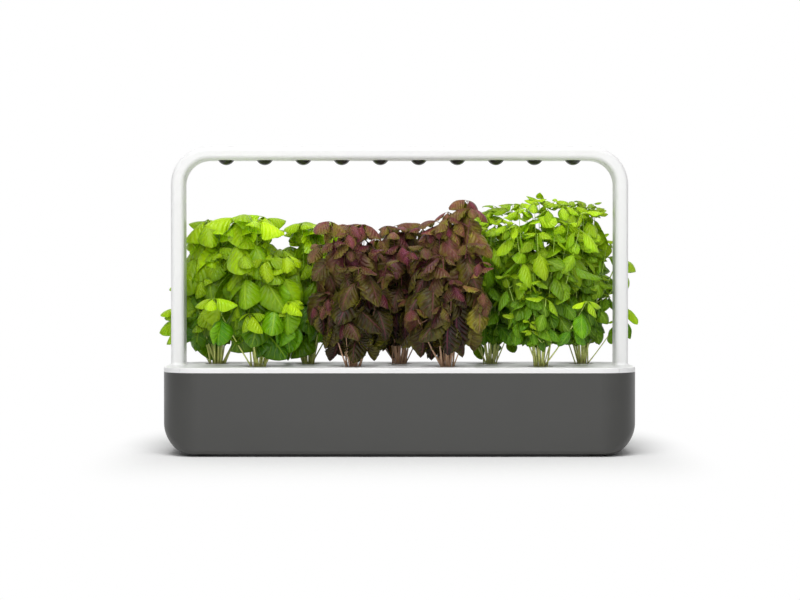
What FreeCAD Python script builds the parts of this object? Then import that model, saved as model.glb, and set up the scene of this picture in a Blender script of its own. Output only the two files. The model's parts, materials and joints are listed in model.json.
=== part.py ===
import FreeCAD, Part
import math
import os
from FreeCAD import Vector

# Countertop garden: a water tub with a lid of nine plant pods, and a lamp arch on two plug-in arms.
# Lengths are in millimetres. X runs along the garden, the viewer stands at -Y, Z points up, and the
# origin lies on the table under the middle of the tub.

# Overall form of the tub
body_length = 610.0
body_depth = 185.0
plan_corner_radius = 48.0
end_bottom_radius = 38.0
bottom_edge_radius = 5.0
tub_height = 103.8
tub_wall = 2.8
cavity_corner_extra = 6.0

# Underside
foot_drop = 1.0
base_plate_thickness = 2.2
base_plate_end_inset = 36.0
base_plate_side_inset = 8.0
foot_radius = 8.0
foot_recess = 1.2
foot_end_inset = 70.0
foot_side_inset = 32.5
plate_screw_count = 3
plate_screw_pitch = 205.0
plate_screw_side_inset = 18.5
plate_screw_radius = 1.5
plate_screw_head_radius = 2.8
plate_screw_head_height = 1.2
plate_screw_length = 7.0
screw_gap = 0.15
boss_wall = 2.6
boss_cap = 1.5

# White top: the lid between two fixed end decks
lid_height = 6.5
lid_thickness = 2.5
lid_rim_wall = 2.5
lid_edge_radius = 1.5
seam_inset = 25.0
seam_gap = 0.3
skirt_thickness = 1.6
skirt_depth = 5.0
skirt_gap = 0.3
skirt_end_inset = 58.0

# Dry towers in the tub, one under each arm
tower_radius = 27.0
tower_wall = 2.0
tower_top_drop = 3.0
deck_bulge_gap = 1.0

# Lamp arch and its arms
overall_height = 400.0
leg_inset = 5.5
leg_width = 17.5
leg_depth = 38.0
leg_edge_radius = 6.0
leg_wall = 2.0
bend_radius = 50.0
collar_height = 10.5
collar_flare_radius = 5.0
arm_length = 130.0
shoulder_thickness = 4.0
spigot_length = 28.0
spigot_wall = 1.6
spigot_gap = 0.25
socket_web = 2.0
socket_depth = 36.0

# Light bar in the arch
lens_count = 10
lens_radius = 10.5
lens_sphere_radius = 12.0
lens_hole_gap = 0.4
lens_chip_gap = 0.2
cover_half_depth = 12.5
cover_gap = 0.3
cover_end_gap = 2.5
cover_rib_thickness = 1.2
cover_snap_height = 1.2
cover_snap_reach = 0.8
board_end_gap = 4.0
board_thickness = 1.6
chip_size = 5.0
chip_thickness = 0.8
board_lens_margin = 14.85
board_seat_height = 4.5
board_plug_length = 8.0
board_plug_depth = 7.0
board_plug_height = 6.0

# Pods
pod_count = 9
pod_end_margin = 61.0
pod_row_inset = 49.5
pod_disc_radius = 33.0
pod_disc_thickness = 2.0
pod_disc_gap = 0.4
pod_hole_radius = 20.0
pod_ledge_thickness = 2.0
pod_ring_wall = 1.6
cup_mouth_radius = 17.0
cup_wall = 1.4
cup_bottom_radius = 12.6
cup_depth = 53.5
foot_tube_radius = 9.0
foot_tube_depth = 42.0
foot_slot_width = 4.0
foot_slot_height = 30.0
plug_gap = 0.4
plug_top_drop = 2.0
wick_clear = 1.5

# Fill port, level guide and float
port_land = 4.1
port_flange_depth = 23.0
port_flange_thickness = 1.2
port_lip = 2.8
port_wall = 1.4
port_gap = 0.3
port_front_inset = 40.5
port_drop = 9.5
guide_radius = 6.2
guide_wall = 1.2
guide_length = 46.0
guide_slot_width = 3.0
guide_web = 2.0
float_radius = 12.0
float_height = 20.0
float_floor_gap = 0.3
stem_radius = 4.5
stem_pin_radius = 3.0
stem_pin_gap = 0.15
stem_top_drop = 1.5

# Power parts in the right tower
board_width = 42.0
board_height = 42.0
board_bottom = 41.8
control_board_thickness = 1.6
jack_y = 11.0
button_y = -11.0
control_z = 62.0
jack_width = 9.0
jack_height = 11.0
jack_depth = 14.0
jack_barrel_radius = 4.2
jack_bore_radius = 2.8
jack_bore_depth = 9.5
jack_pin_radius = 1.0
jack_recess = 0.4
wall_hole_gap = 0.3
board_boss_radius = 3.0
board_boss_y = 17.5
board_boss_low = 5.0
board_screw_radius = 1.2
board_screw_head_radius = 2.2
board_screw_head_height = 1.4
board_screw_bite = 6.0
switch_size = 6.0
switch_height = 4.0
plunger_radius = 1.7
plunger_height = 3.0
button_radius = 6.0
button_proud = 0.8
button_flange_radius = 7.4
button_flange_thickness = 1.2
button_stem_radius = 2.0
button_travel = 1.2
press_clearance = 0.3
socket_plug_width = 6.0
socket_plug_depth = 9.0
socket_plug_height = 7.0
contact_height = 5.7
contact_gap = 0.3
contact_side_gap = 0.3
contact_depth = 20.0
lead_radius = 1.5
lead_hole_gap = 0.5

# Foliage: reach of the outermost leaves, and how far the crowns stay below the lenses
foliage_half_reach = 325.0
foliage_top_limit = 340.0
cell_gap = 1.0
stem_base_radius = 1.9
stem_foot_ring = 1.2
stem_top_radius = 1.0
leaf_thickness = 0.9

# Levels and places that follow from the sizes above
tub_bottom = foot_drop + base_plate_thickness
tub_floor = tub_bottom + tub_wall
rim_z = tub_bottom + tub_height
lid_top = rim_z + lid_height
lid_under = lid_top - lid_thickness
collar_top = lid_top + collar_height
lamp_bottom = collar_top + arm_length
half_length = body_length / 2
half_depth = body_depth / 2
arch_half = half_length - leg_inset
leg_x = arch_half - leg_width / 2
seam_x = half_length - seam_inset
tower_top = rim_z - tower_top_drop
bulge_radius = tower_radius + deck_bulge_gap
beam_under = overall_height - leg_width
beam_inner = beam_under + leg_wall
pod_pitch = (half_length - pod_end_margin) / ((pod_count - 1) / 2)
pod_row = half_depth - pod_row_inset
pod_seat = lid_top - pod_disc_thickness
recess_radius = pod_disc_radius + pod_disc_gap
cup_floor = pod_seat - cup_depth
foot_bottom = cup_floor - foot_tube_depth
end_inner_x = half_length - tub_wall
cover_length = 2 * (arch_half - bend_radius - cover_end_gap)
led_board_length = cover_length - 2 * board_end_gap
lens_pitch = (led_board_length - 2 * board_lens_margin) / (lens_count - 1)
led_board_z = beam_under + board_seat_height
chip_low = led_board_z - chip_thickness
lens_top = chip_low - lens_chip_gap
port_y = port_front_inset - half_depth
port_flange_length = 2 * (pod_pitch - recess_radius - pod_ring_wall - port_land)


def pod_place(index):
    # pods zigzag: even ones stand in the back row, odd ones in the front row
    x = (index - (pod_count - 1) / 2) * pod_pitch
    y = pod_row if index % 2 == 0 else -pod_row
    return x, y


def rounded_outline(length, depth, radius, z, x=0.0, y=0.0):
    a = length / 2 - radius
    b = depth / 2 - radius
    eighth_turn = math.pi / 4
    arcs = []
    for quarter, (cx, cy) in enumerate([(a, b), (-a, b), (-a, -b), (a, -b)]):
        start = 2 * eighth_turn * quarter
        arcs.append([
            Vector(
                x + cx + radius * math.cos(start + k * eighth_turn),
                y + cy + radius * math.sin(start + k * eighth_turn),
                z,
            )
            for k in range(3)
        ])
    edges = []
    for quarter in range(4):
        here = arcs[quarter]
        following = arcs[(quarter + 1) % 4]
        edges.append(Part.Arc(*here).toShape())
        if here[2].distanceToPoint(following[0]) > 0.001:
            edges.append(Part.LineSegment(here[2], following[0]).toShape())
    return Part.Wire(edges)


def rounded_prism(length, depth, radius, low, high, x=0.0, y=0.0):
    face = Part.Face(rounded_outline(length, depth, radius, low, x, y))
    return face.extrude(Vector(0, 0, high - low))


def upright(radius, low, high, x=0.0, y=0.0):
    return Part.makeCylinder(radius, high - low, Vector(x, y, low))


def along_x(radius, start, end, y, z):
    return Part.makeCylinder(radius, end - start, Vector(start, y, z), Vector(1, 0, 0))


def block(x_range, y_range, z_range):
    size = [high - low for low, high in (x_range, y_range, z_range)]
    return Part.makeBox(*size, Vector(x_range[0], y_range[0], z_range[0]))


def turned(points, x, y):
    # a solid of revolution about the upright line at x, y, from a closed outline of (radius, z) points
    outline = Part.makePolygon([Vector(x + r, y, z) for r, z in points + points[:1]])
    return Part.Face(outline).revolve(Vector(x, y, 0), Vector(0, 0, 1), 360)


def mirrored(solid):
    return solid.mirror(Vector(0, 0, 0), Vector(1, 0, 0))


def one_solid(shape):
    merged = shape.removeSplitter()
    return merged.Solids[0] if len(merged.Solids) == 1 else merged


def plan_prism(inset, low, high):
    return rounded_prism(body_length - 2 * inset, body_depth - 2 * inset, plan_corner_radius - inset, low, high)


def cavity_form(inset, top):
    # the hollow of the tub: its plan, with end corners rounded off at the bottom in the front view, a
    # little more than outside so that the lower corners keep their wall
    a = half_length - inset
    low = tub_bottom + inset
    r = end_bottom_radius + cavity_corner_extra - inset
    bend = r * (1 - math.sqrt(0.5))
    y = -body_depth
    corners = []
    for side in (-1, 1):
        corners.append([
            Vector(side * a, y, low + r),
            Vector(side * (a - bend), y, low + bend),
            Vector(side * (a - r), y, low),
        ])
    left, right = corners
    outline = Part.Wire([
        Part.Arc(*left).toShape(),
        Part.LineSegment(left[2], right[2]).toShape(),
        Part.Arc(*reversed(right)).toShape(),
        Part.LineSegment(right[0], Vector(a, y, top)).toShape(),
        Part.LineSegment(Vector(a, y, top), Vector(-a, y, top)).toShape(),
        Part.LineSegment(Vector(-a, y, top), left[0]).toShape(),
    ])
    profile = Part.Face(outline).extrude(Vector(0, 2 * body_depth, 0))
    return plan_prism(inset, low, top).common(profile)


def tub_form():
    # the bottom edge is rounded generously at the ends, slightly along the front and back, and the
    # rounding grows from one to the other round each corner of the plan
    form = plan_prism(0.0, tub_bottom, rim_z)
    end_flat = half_depth - plan_corner_radius

    def radius_at(point):
        return end_bottom_radius if abs(point.y) < end_flat + 0.01 else bottom_edge_radius

    roundings = []
    for number, edge in enumerate(form.Edges, 1):
        box = edge.BoundBox
        if box.ZMax > tub_bottom + 0.01:
            continue
        if box.YLength < 0.01:
            roundings.append((number, bottom_edge_radius, bottom_edge_radius))
        else:
            first = edge.valueAt(edge.FirstParameter)
            last = edge.valueAt(edge.LastParameter)
            roundings.append((number, radius_at(first), radius_at(last)))
    document = FreeCAD.newDocument()
    base = document.addObject("Part::Feature", "Base")
    base.Shape = form
    rounded = document.addObject("Part::Fillet", "Rounded")
    rounded.Base = base
    rounded.Edges = roundings
    document.recompute()
    result = rounded.Shape.copy()
    FreeCAD.closeDocument(document.Name)
    return result


def plate_screw_places():
    y = half_depth - plate_screw_side_inset
    first = -(plate_screw_count - 1) / 2
    return [((first + k) * plate_screw_pitch, side * y) for k in range(plate_screw_count) for side in (-1, 1)]


def board_boss_places():
    low = board_bottom + board_boss_low
    high = board_bottom + board_height - board_boss_low
    return [(side * board_boss_y, z) for side in (-1, 1) for z in (low, high)]


board_back_x = end_inner_x - jack_depth - control_board_thickness
board_face_x = end_inner_x - jack_depth
screw_hole_top = tub_bottom - foot_recess + plate_screw_length


def make_tub():
    shell = tub_form().cut(cavity_form(tub_wall, rim_z + 1))
    inside = cavity_form(tub_wall / 2, tower_top)
    for side in (-1, 1):
        ring = upright(tower_radius, tub_bottom, tower_top, side * leg_x)
        ring = ring.cut(upright(tower_radius - tower_wall, tub_bottom, tower_top, side * leg_x))
        shell = shell.fuse(ring.common(inside))
    # screw bosses stand on the floor, closed at the top so that no water reaches the screws
    boss_radius = plate_screw_radius + screw_gap + boss_wall
    for x, y in plate_screw_places():
        shell = shell.fuse(upright(boss_radius, tub_bottom + tub_wall / 2, screw_hole_top + boss_cap, x, y))
    for x, y in plate_screw_places():
        shell = shell.cut(upright(plate_screw_radius + screw_gap, tub_bottom - 1, screw_hole_top, x, y))
    # the right end carries the inlet, the switch button and the bosses of the control board
    for y, z in board_boss_places():
        shell = shell.fuse(along_x(board_boss_radius, board_face_x, end_inner_x + tub_wall / 2, y, z))
    for y, z in board_boss_places():
        hole_end = board_face_x + board_screw_bite + 1
        shell = shell.cut(along_x(board_screw_radius + screw_gap, board_face_x - 1, hole_end, y, z))
    shell = shell.cut(along_x(jack_barrel_radius + wall_hole_gap, end_inner_x - 1, half_length + 1, jack_y, control_z))
    shell = shell.cut(along_x(button_radius + wall_hole_gap, end_inner_x - 1, half_length + 1, button_y, control_z))
    return one_solid(shell)


def make_base_plate():
    length = body_length - 2 * base_plate_end_inset
    depth = body_depth - 2 * base_plate_side_inset
    radius = plan_corner_radius - base_plate_side_inset
    plate = rounded_prism(length, depth, radius, foot_drop, tub_bottom)
    for x, y in foot_places():
        plate = plate.cut(upright(foot_radius + screw_gap, 0, foot_drop + foot_recess, x, y))
    for x, y in plate_screw_places():
        plate = plate.cut(upright(plate_screw_radius + screw_gap, 0, tub_bottom + 1, x, y))
        plate = plate.cut(upright(plate_screw_head_radius + screw_gap, 0, foot_drop + plate_screw_head_height, x, y))
    return plate


def foot_places():
    x = half_length - foot_end_inset
    y = half_depth - foot_side_inset
    return [(i * x, j * y) for i in (-1, 1) for j in (-1, 1)]


def make_rubber_feet():
    return [upright(foot_radius, 0, foot_drop + foot_recess, x, y) for x, y in foot_places()]


def make_plate_screws():
    screws = []
    seat = foot_drop + plate_screw_head_height
    for x, y in plate_screw_places():
        head = upright(plate_screw_head_radius, foot_drop, seat, x, y)
        shank = upright(plate_screw_radius, seat, screw_hole_top - 0.5, x, y)
        screws.append(head.fuse(shank))
    return screws


def leg_section(inset, low, high, side=1):
    return rounded_prism(
        leg_width - 2 * inset, leg_depth - 2 * inset, leg_edge_radius - inset, low, high, side * leg_x
    )


def white_top():
    # the whole white top as one hollow slab, before it is parted into lid and end decks
    slab = plan_prism(0.0, rim_z, lid_top)
    rim = [e for e in slab.Edges if e.BoundBox.ZMin > lid_top - 0.01]
    slab = slab.makeFillet(lid_edge_radius, rim)
    return slab.cut(plan_prism(lid_rim_wall, rim_z - 1, lid_under))


def skirt(low, high):
    outer = tub_wall + skirt_gap
    return plan_prism(outer, low, high).cut(plan_prism(outer + skirt_thickness, low - 1, high + 1))


def end_region(side, gap=0.0):
    # plan of an end deck: the strip past the seam and a round bulge about the collar
    strip = block((seam_x - gap, half_length + 1), (-half_depth - 1, half_depth + 1), (0, overall_height))
    region = strip.fuse(upright(bulge_radius + gap, 0, overall_height, leg_x))
    return region if side > 0 else mirrored(region)


def make_end_deck(side):
    deck = white_top().common(end_region(1))
    rim_skirt = skirt(tower_top + skirt_gap, lid_under + 0.5)
    deck = deck.fuse(rim_skirt.common(block((seam_x + 1, half_length), (-half_depth, half_depth), (0, lid_top))))
    # a round lip stands on the tower wall and carries the collar
    lip = upright(tower_radius, tower_top, lid_under + 0.5, leg_x)
    lip = lip.cut(upright(tower_radius - tower_wall, tower_top, lid_under + 0.5, leg_x))
    deck = deck.fuse(lip.common(plan_prism(tub_wall + skirt_gap, tower_top, lid_top)))
    deck = deck.fuse(leg_section(0.0, lid_under, collar_top))
    deck = one_solid(deck)
    foot_edges = []
    for edge in deck.Edges:
        box = edge.BoundBox
        level = abs(box.ZMin - lid_top) < 0.01 and abs(box.ZMax - lid_top) < 0.01
        near = box.XMin > leg_x - leg_width / 2 - 0.1 and box.XMax < leg_x + leg_width / 2 + 0.1
        if level and near and abs(box.YMax) < leg_depth / 2 + 0.1 and abs(box.YMin) < leg_depth / 2 + 0.1:
            foot_edges.append(edge)
    flare = min(collar_flare_radius, leg_inset - lid_edge_radius - 0.1)
    deck = deck.makeFillet(flare, foot_edges)
    socket_bottom = collar_top - socket_depth
    deck = deck.fuse(leg_section(0.0, socket_bottom, lid_under + 0.5))
    deck = deck.cut(leg_section(leg_wall, socket_bottom + socket_web, collar_top + 1))
    deck = deck.cut(upright(lead_radius + lead_hole_gap, socket_bottom - 1, socket_bottom + socket_web + 1, leg_x))
    deck = one_solid(deck)
    return deck if side > 0 else one_solid(mirrored(deck))


def port_slot(length, depth, low, high):
    return rounded_prism(length, depth, depth / 2 - 0.001, low, high, 0.0, port_y)


port_outer_length = port_flange_length - 2 * port_lip
port_outer_depth = port_flange_depth - 2 * port_lip
port_bottom = lid_top - port_drop
guide_x = guide_radius + port_wall - port_outer_length / 2 + 1.2


def make_lid():
    lid = white_top().cut(end_region(1, seam_gap)).cut(end_region(-1, seam_gap))
    straight = half_length - skirt_end_inset
    rail = skirt(rim_z - skirt_depth, lid_under + 0.5)
    lid = lid.fuse(rail.common(block((-straight, straight), (-half_depth, half_depth), (0, lid_top))))
    for index in range(pod_count):
        x, y = pod_place(index)
        lid = lid.fuse(upright(recess_radius + pod_ring_wall, pod_seat - pod_ledge_thickness, lid_under + 0.5, x, y))
    for index in range(pod_count):
        x, y = pod_place(index)
        lid = lid.cut(upright(recess_radius, pod_seat, lid_top + 1, x, y))
        lid = lid.cut(upright(pod_hole_radius, rim_z - 5, lid_top + 1, x, y))
    flange_seat = lid_top - port_flange_thickness
    lid = lid.cut(port_slot(port_flange_length + 2 * port_gap, port_flange_depth + 2 * port_gap, flange_seat, lid_top + 1))
    lid = lid.cut(port_slot(port_outer_length + 2 * port_gap, port_outer_depth + 2 * port_gap, rim_z - 5, lid_top + 1))
    return one_solid(lid)


def make_float_guide():
    # an insert in the lid: an oval filler mouth whose left half carries the tube of the level float
    guide = port_slot(port_flange_length, port_flange_depth, lid_top - port_flange_thickness, lid_top)
    guide = guide.fuse(port_slot(port_outer_length, port_outer_depth, port_bottom, lid_top - 0.5))
    inner_length = port_outer_length - 2 * port_wall
    inner_depth = port_outer_depth - 2 * port_wall
    mouth = port_slot(inner_length, inner_depth, port_bottom - 1, lid_top + 1)
    guide = guide.cut(mouth)
    web_end = guide_x + guide_radius + 0.8
    web = port_slot(inner_length + port_wall, inner_depth + port_wall, port_bottom, port_bottom + guide_web)
    web = web.common(block((-port_flange_length, web_end), (-half_depth, 0), (0, lid_top)))
    guide = guide.fuse(web)
    low = port_bottom - guide_length
    guide = guide.fuse(upright(guide_radius, low, port_bottom + guide_web, guide_x, port_y))
    guide = guide.cut(upright(guide_radius - guide_wall, low - 1, lid_top + 1, guide_x, port_y))
    slot_top = port_bottom - 4
    slot_low = low + 4
    half_slot = guide_slot_width / 2
    reach = guide_radius + 1
    guide = guide.cut(block(
        (guide_x - reach, guide_x + reach), (port_y - half_slot, port_y + half_slot), (slot_low, slot_top)
    ))
    return one_solid(guide)


float_bottom = tub_floor + float_floor_gap


def make_float_foam():
    foam = upright(float_radius, float_bottom, float_bottom + float_height, guide_x, port_y)
    bore = stem_pin_radius + stem_pin_gap
    return foam.cut(upright(bore, float_bottom - 1, float_bottom + float_height + 1, guide_x, port_y))


def make_float_stem():
    shoulder = float_bottom + float_height
    pin = upright(stem_pin_radius, float_bottom, shoulder, guide_x, port_y)
    return pin.fuse(upright(stem_radius, shoulder, lid_top - stem_top_drop, guide_x, port_y))


def make_cup(index):
    x, y = pod_place(index)
    wall_low = cup_floor - cup_wall
    cup = turned(
        [
            (cup_mouth_radius, lid_top),
            (pod_disc_radius, lid_top),
            (pod_disc_radius, pod_seat),
            (cup_mouth_radius + cup_wall, pod_seat),
            (cup_bottom_radius + cup_wall, wall_low),
            (foot_tube_radius, wall_low),
            (foot_tube_radius, foot_bottom),
            (0.0, foot_bottom),
            (0.0, foot_bottom + cup_wall),
            (foot_tube_radius - cup_wall, foot_bottom + cup_wall),
            (foot_tube_radius - cup_wall, cup_floor),
            (cup_bottom_radius, cup_floor),
        ],
        x,
        y,
    )
    # the foot is slotted so that the wick stands in the water
    half_slot = foot_slot_width / 2
    reach = foot_tube_radius + 1
    slot_low = foot_bottom + 4
    levels = (slot_low, slot_low + foot_slot_height)
    cup = cup.cut(block((x - reach, x + reach), (y - half_slot, y + half_slot), levels))
    return cup


def make_soil_plug(index):
    x, y = pod_place(index)
    top = lid_top - plug_top_drop
    wick_low = foot_bottom + cup_wall + wick_clear
    wick_radius = foot_tube_radius - cup_wall - plug_gap
    return turned(
        [
            (0.0, top),
            (cup_mouth_radius - plug_gap, top),
            (cup_bottom_radius - plug_gap, cup_floor + plug_gap),
            (wick_radius, cup_floor + plug_gap),
            (wick_radius, wick_low),
            (0.0, wick_low),
        ],
        x,
        y,
    )


def make_arm(side):
    arm = leg_section(0.0, collar_top, lamp_bottom, side)
    arm = arm.cut(leg_section(leg_wall, collar_top + shoulder_thickness, lamp_bottom + 1, side))
    spigot_inset = leg_wall + spigot_gap
    spigot_low = collar_top - spigot_length
    arm = arm.fuse(leg_section(spigot_inset, spigot_low, collar_top + 1, side))
    bore = leg_section(spigot_inset + spigot_wall, spigot_low - 1, collar_top + shoulder_thickness + 1, side)
    arm = arm.cut(bore)
    # a web near the top carries the upper contact block
    web_top = arm_web_top
    web = leg_section(leg_wall / 2, web_top - socket_web, web_top, side)
    arm = arm.fuse(web)
    arm = arm.cut(upright(lead_radius + lead_hole_gap, web_top - socket_web - 1, web_top + 1, side * leg_x))
    return one_solid(arm)


arm_web_top = lamp_bottom - spigot_length - contact_gap - contact_height


def arch_form(inset, low):
    # the arch as one bent bar: its front outline drawn through both legs, with rounded long edges
    outer_x = arch_half - inset
    inner_x = arch_half - leg_width + inset
    top = overall_height - inset
    under = beam_under + inset
    outer_r = bend_radius - inset
    inner_r = bend_radius - leg_width + inset
    centre_x = arch_half - bend_radius
    centre_z = overall_height - bend_radius
    y = inset - leg_depth / 2
    diagonal = math.sqrt(0.5)

    def bend(radius, side):
        return [
            Vector(side * (centre_x + radius), y, centre_z),
            Vector(side * (centre_x + radius * diagonal), y, centre_z + radius * diagonal),
            Vector(side * centre_x, y, centre_z + radius),
        ]

    outer_left = bend(outer_r, -1)
    outer_right = bend(outer_r, 1)
    inner_left = bend(inner_r, -1)
    inner_right = bend(inner_r, 1)
    ends = [
        Vector(-outer_x, y, low),
        Vector(outer_x, y, low),
        Vector(inner_x, y, low),
        Vector(-inner_x, y, low),
    ]
    outline = Part.Wire([
        Part.LineSegment(ends[0], outer_left[0]).toShape(),
        Part.Arc(*outer_left).toShape(),
        Part.LineSegment(Vector(-centre_x, y, top), Vector(centre_x, y, top)).toShape(),
        Part.Arc(*reversed(outer_right)).toShape(),
        Part.LineSegment(outer_right[0], ends[1]).toShape(),
        Part.LineSegment(ends[1], ends[2]).toShape(),
        Part.LineSegment(ends[2], inner_right[0]).toShape(),
        Part.Arc(*inner_right).toShape(),
        Part.LineSegment(Vector(centre_x, y, under), Vector(-centre_x, y, under)).toShape(),
        Part.Arc(*reversed(inner_left)).toShape(),
        Part.LineSegment(inner_left[0], ends[3]).toShape(),
        Part.LineSegment(ends[3], ends[0]).toShape(),
    ])
    depth = leg_depth - 2 * inset
    bar = Part.Face(outline).extrude(Vector(0, depth, 0))
    side_edges = []
    for edge in bar.Edges:
        box = edge.BoundBox
        on_side = box.YLength < 0.01
        at_end = box.ZMax < low + 0.01
        if on_side and not at_end:
            side_edges.append(edge)
    return bar.makeFillet(leg_edge_radius - inset, side_edges)


def make_lamp_shell():
    shell = arch_form(0.0, lamp_bottom)
    shell = shell.cut(arch_form(leg_wall, lamp_bottom + shoulder_thickness))
    half_slot = cover_length / 2 + cover_gap
    depth = cover_half_depth + cover_gap
    shell = shell.cut(block((-half_slot, half_slot), (-depth, depth), (beam_under - 1, beam_inner + 1)))
    spigot_inset = leg_wall + spigot_gap
    spigot_low = lamp_bottom - spigot_length
    for side in (-1, 1):
        shell = shell.fuse(leg_section(spigot_inset, spigot_low, lamp_bottom + 1, side))
        bore_top = lamp_bottom + shoulder_thickness + 1
        shell = shell.cut(leg_section(spigot_inset + spigot_wall, spigot_low - 1, bore_top, side))
    return one_solid(shell)


def lens_places():
    first = -(lens_count - 1) / 2
    return [(first + k) * lens_pitch for k in range(lens_count)]


def make_lamp_cover():
    half = cover_length / 2
    cover = block((-half, half), (-cover_half_depth, cover_half_depth), (beam_under, beam_inner))
    # two ribs along the strip carry the light board and snap over the edges of the slot
    rib_end = half - board_end_gap
    rib_inner = cover_half_depth - cover_rib_thickness
    snap_low = beam_inner + cover_gap
    for side in (-1, 1):
        span = sorted((side * rib_inner, side * cover_half_depth))
        cover = cover.fuse(block((-rib_end, rib_end), span, (beam_inner - 0.5, led_board_z)))
        reach = cover_half_depth + cover_gap + cover_snap_reach
        hook = sorted((side * rib_inner, side * reach))
        cover = cover.fuse(block((-rib_end, rib_end), hook, (snap_low, snap_low + cover_snap_height)))
    for x in lens_places():
        cover = cover.cut(upright(lens_radius + lens_hole_gap, beam_under - 1, beam_inner + 1, x))
    return one_solid(cover)


def make_led_lenses():
    # each lens is a shallow dome under a short barrel that stands in its hole in the cover
    drop = math.sqrt(lens_sphere_radius ** 2 - lens_radius ** 2)
    lenses = []
    for x in lens_places():
        ball = Part.makeSphere(lens_sphere_radius, Vector(x, 0, beam_under + drop))
        barrel = upright(lens_radius, beam_under, lens_top, x)
        cap = ball.common(upright(lens_radius, beam_under - lens_sphere_radius, beam_under, x))
        lenses.append(one_solid(cap.fuse(barrel)))
    return lenses




def make_led_chips():
    half = chip_size / 2
    return [block((x - half, x + half), (-half, half), (chip_low, led_board_z)) for x in lens_places()]


def make_led_board():
    half = led_board_length / 2
    depth = cover_half_depth
    board = block((-half, half), (-depth, depth), (led_board_z, led_board_z + board_thickness))
    plug_half = board_plug_depth / 2
    plug_low = led_board_z + board_thickness - 0.2
    plug = block((half - board_plug_length, half), (-plug_half, plug_half), (plug_low, plug_low + board_plug_height))
    return one_solid(board.fuse(plug))


def make_lamp_lead():
    # up the right leg, round the bend of the arch and into the plug on the light board
    run_x = leg_x
    run_z = led_board_z + board_thickness + board_plug_height / 2
    low = lamp_contact_top
    board_end = led_board_length / 2
    radius = min(leg_x - board_end, bend_radius) - 2 * lead_radius
    centre = Vector(run_x - radius, 0, run_z - radius)
    diagonal = radius * math.sqrt(0.5)
    start = Vector(run_x, 0, low)
    turn_in = Vector(run_x, 0, run_z - radius)
    middle = Vector(centre.x + diagonal, 0, centre.z + diagonal)
    turn_out = Vector(run_x - radius, 0, run_z)
    end = Vector(board_end, 0, run_z)
    path = Part.Wire([
        Part.LineSegment(start, turn_in).toShape(),
        Part.Arc(turn_in, middle, turn_out).toShape(),
        Part.LineSegment(turn_out, end).toShape(),
    ])
    section = Part.Wire(Part.makeCircle(lead_radius, start, Vector(0, 0, 1)))
    return path.makePipeShell([section], True, False)


lamp_contact_low = lamp_bottom - spigot_length
lamp_contact_top = lamp_contact_low + contact_height


def contact_block(low, inset):
    half_width = leg_width / 2 - inset - contact_side_gap
    half = contact_depth / 2
    return block((leg_x - half_width, leg_x + half_width), (-half, half), (low, low + contact_height))


def make_lamp_contact_block():
    return contact_block(lamp_contact_low, leg_wall + spigot_gap + spigot_wall)


def make_arm_contact_blocks():
    lower = contact_block(collar_top - spigot_length, leg_wall + spigot_gap + spigot_wall)
    upper = contact_block(arm_web_top, leg_wall)
    return [lower, upper]


def make_arm_lead():
    low = collar_top - spigot_length + contact_height
    return upright(lead_radius, low, arm_web_top, leg_x)


base_contact_low = collar_top - socket_depth + socket_web


def make_base_contact_block():
    half_width = leg_width / 2 - leg_wall - contact_side_gap
    half = contact_depth / 2
    top = collar_top - spigot_length - contact_gap
    return block((leg_x - half_width, leg_x + half_width), (-half, half), (base_contact_low, top))


socket_plug_low = board_bottom + board_height - socket_plug_height


def make_base_lead():
    return upright(lead_radius, socket_plug_low + socket_plug_height, base_contact_low, leg_x)


def make_power_board():
    half = board_width / 2
    top = board_bottom + board_height
    board = block((board_back_x, board_face_x), (-half, half), (board_bottom, top))
    plug_half = socket_plug_depth / 2
    plug = block((board_face_x - 0.2, board_face_x + socket_plug_width), (-plug_half, plug_half), (socket_plug_low, top))
    board = board.fuse(plug)
    for y, z in board_boss_places():
        board = board.cut(along_x(board_screw_radius + screw_gap, board_back_x - 1, board_face_x + 1, y, z))
    return one_solid(board)


def make_board_screws():
    screws = []
    for y, z in board_boss_places():
        head = along_x(board_screw_head_radius, board_back_x - board_screw_head_height, board_back_x, y, z)
        shank = along_x(board_screw_radius, board_back_x, board_face_x + board_screw_bite, y, z)
        screws.append(head.fuse(shank))
    return screws


def make_dc_jack():
    half_width = jack_width / 2
    half_height = jack_height / 2
    jack = block(
        (board_face_x, end_inner_x),
        (jack_y - half_width, jack_y + half_width),
        (control_z - half_height, control_z + half_height),
    )
    mouth = half_length - jack_recess
    jack = jack.fuse(along_x(jack_barrel_radius, end_inner_x - 1, mouth, jack_y, control_z))
    bore_end = mouth - jack_bore_depth
    jack = jack.cut(along_x(jack_bore_radius, bore_end, mouth + 1, jack_y, control_z))
    return one_solid(jack.fuse(along_x(jack_pin_radius, bore_end - 1, mouth - 1, jack_y, control_z)))


plunger_tip = board_face_x + switch_height + plunger_height


def make_button_switch():
    half = switch_size / 2
    case = block(
        (board_face_x, board_face_x + switch_height),
        (button_y - half, button_y + half),
        (control_z - half, control_z + half),
    )
    return case.fuse(along_x(plunger_radius, board_face_x + switch_height - 0.5, plunger_tip, button_y, control_z))


def make_power_button():
    flange_face = end_inner_x - press_clearance
    flange_back = flange_face - button_flange_thickness
    cap = along_x(button_radius, flange_face - 0.5, half_length + button_proud, button_y, control_z)
    rim = [e for e in cap.Edges if e.BoundBox.XMin > half_length + button_proud - 0.01]
    cap = cap.makeChamfer(button_proud / 2, rim)
    cap = cap.fuse(along_x(button_flange_radius, flange_back, flange_face, button_y, control_z))
    stem_tip = plunger_tip + button_travel + press_clearance
    return one_solid(cap.fuse(along_x(button_stem_radius, stem_tip, flange_back + 0.5, button_y, control_z)))


# Plants. Each grows from its plug as a fan of stems with opposite pairs of leaves, and keeps to its own
# cell of the plan, so that a pod can be lifted past its neighbours.

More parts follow.
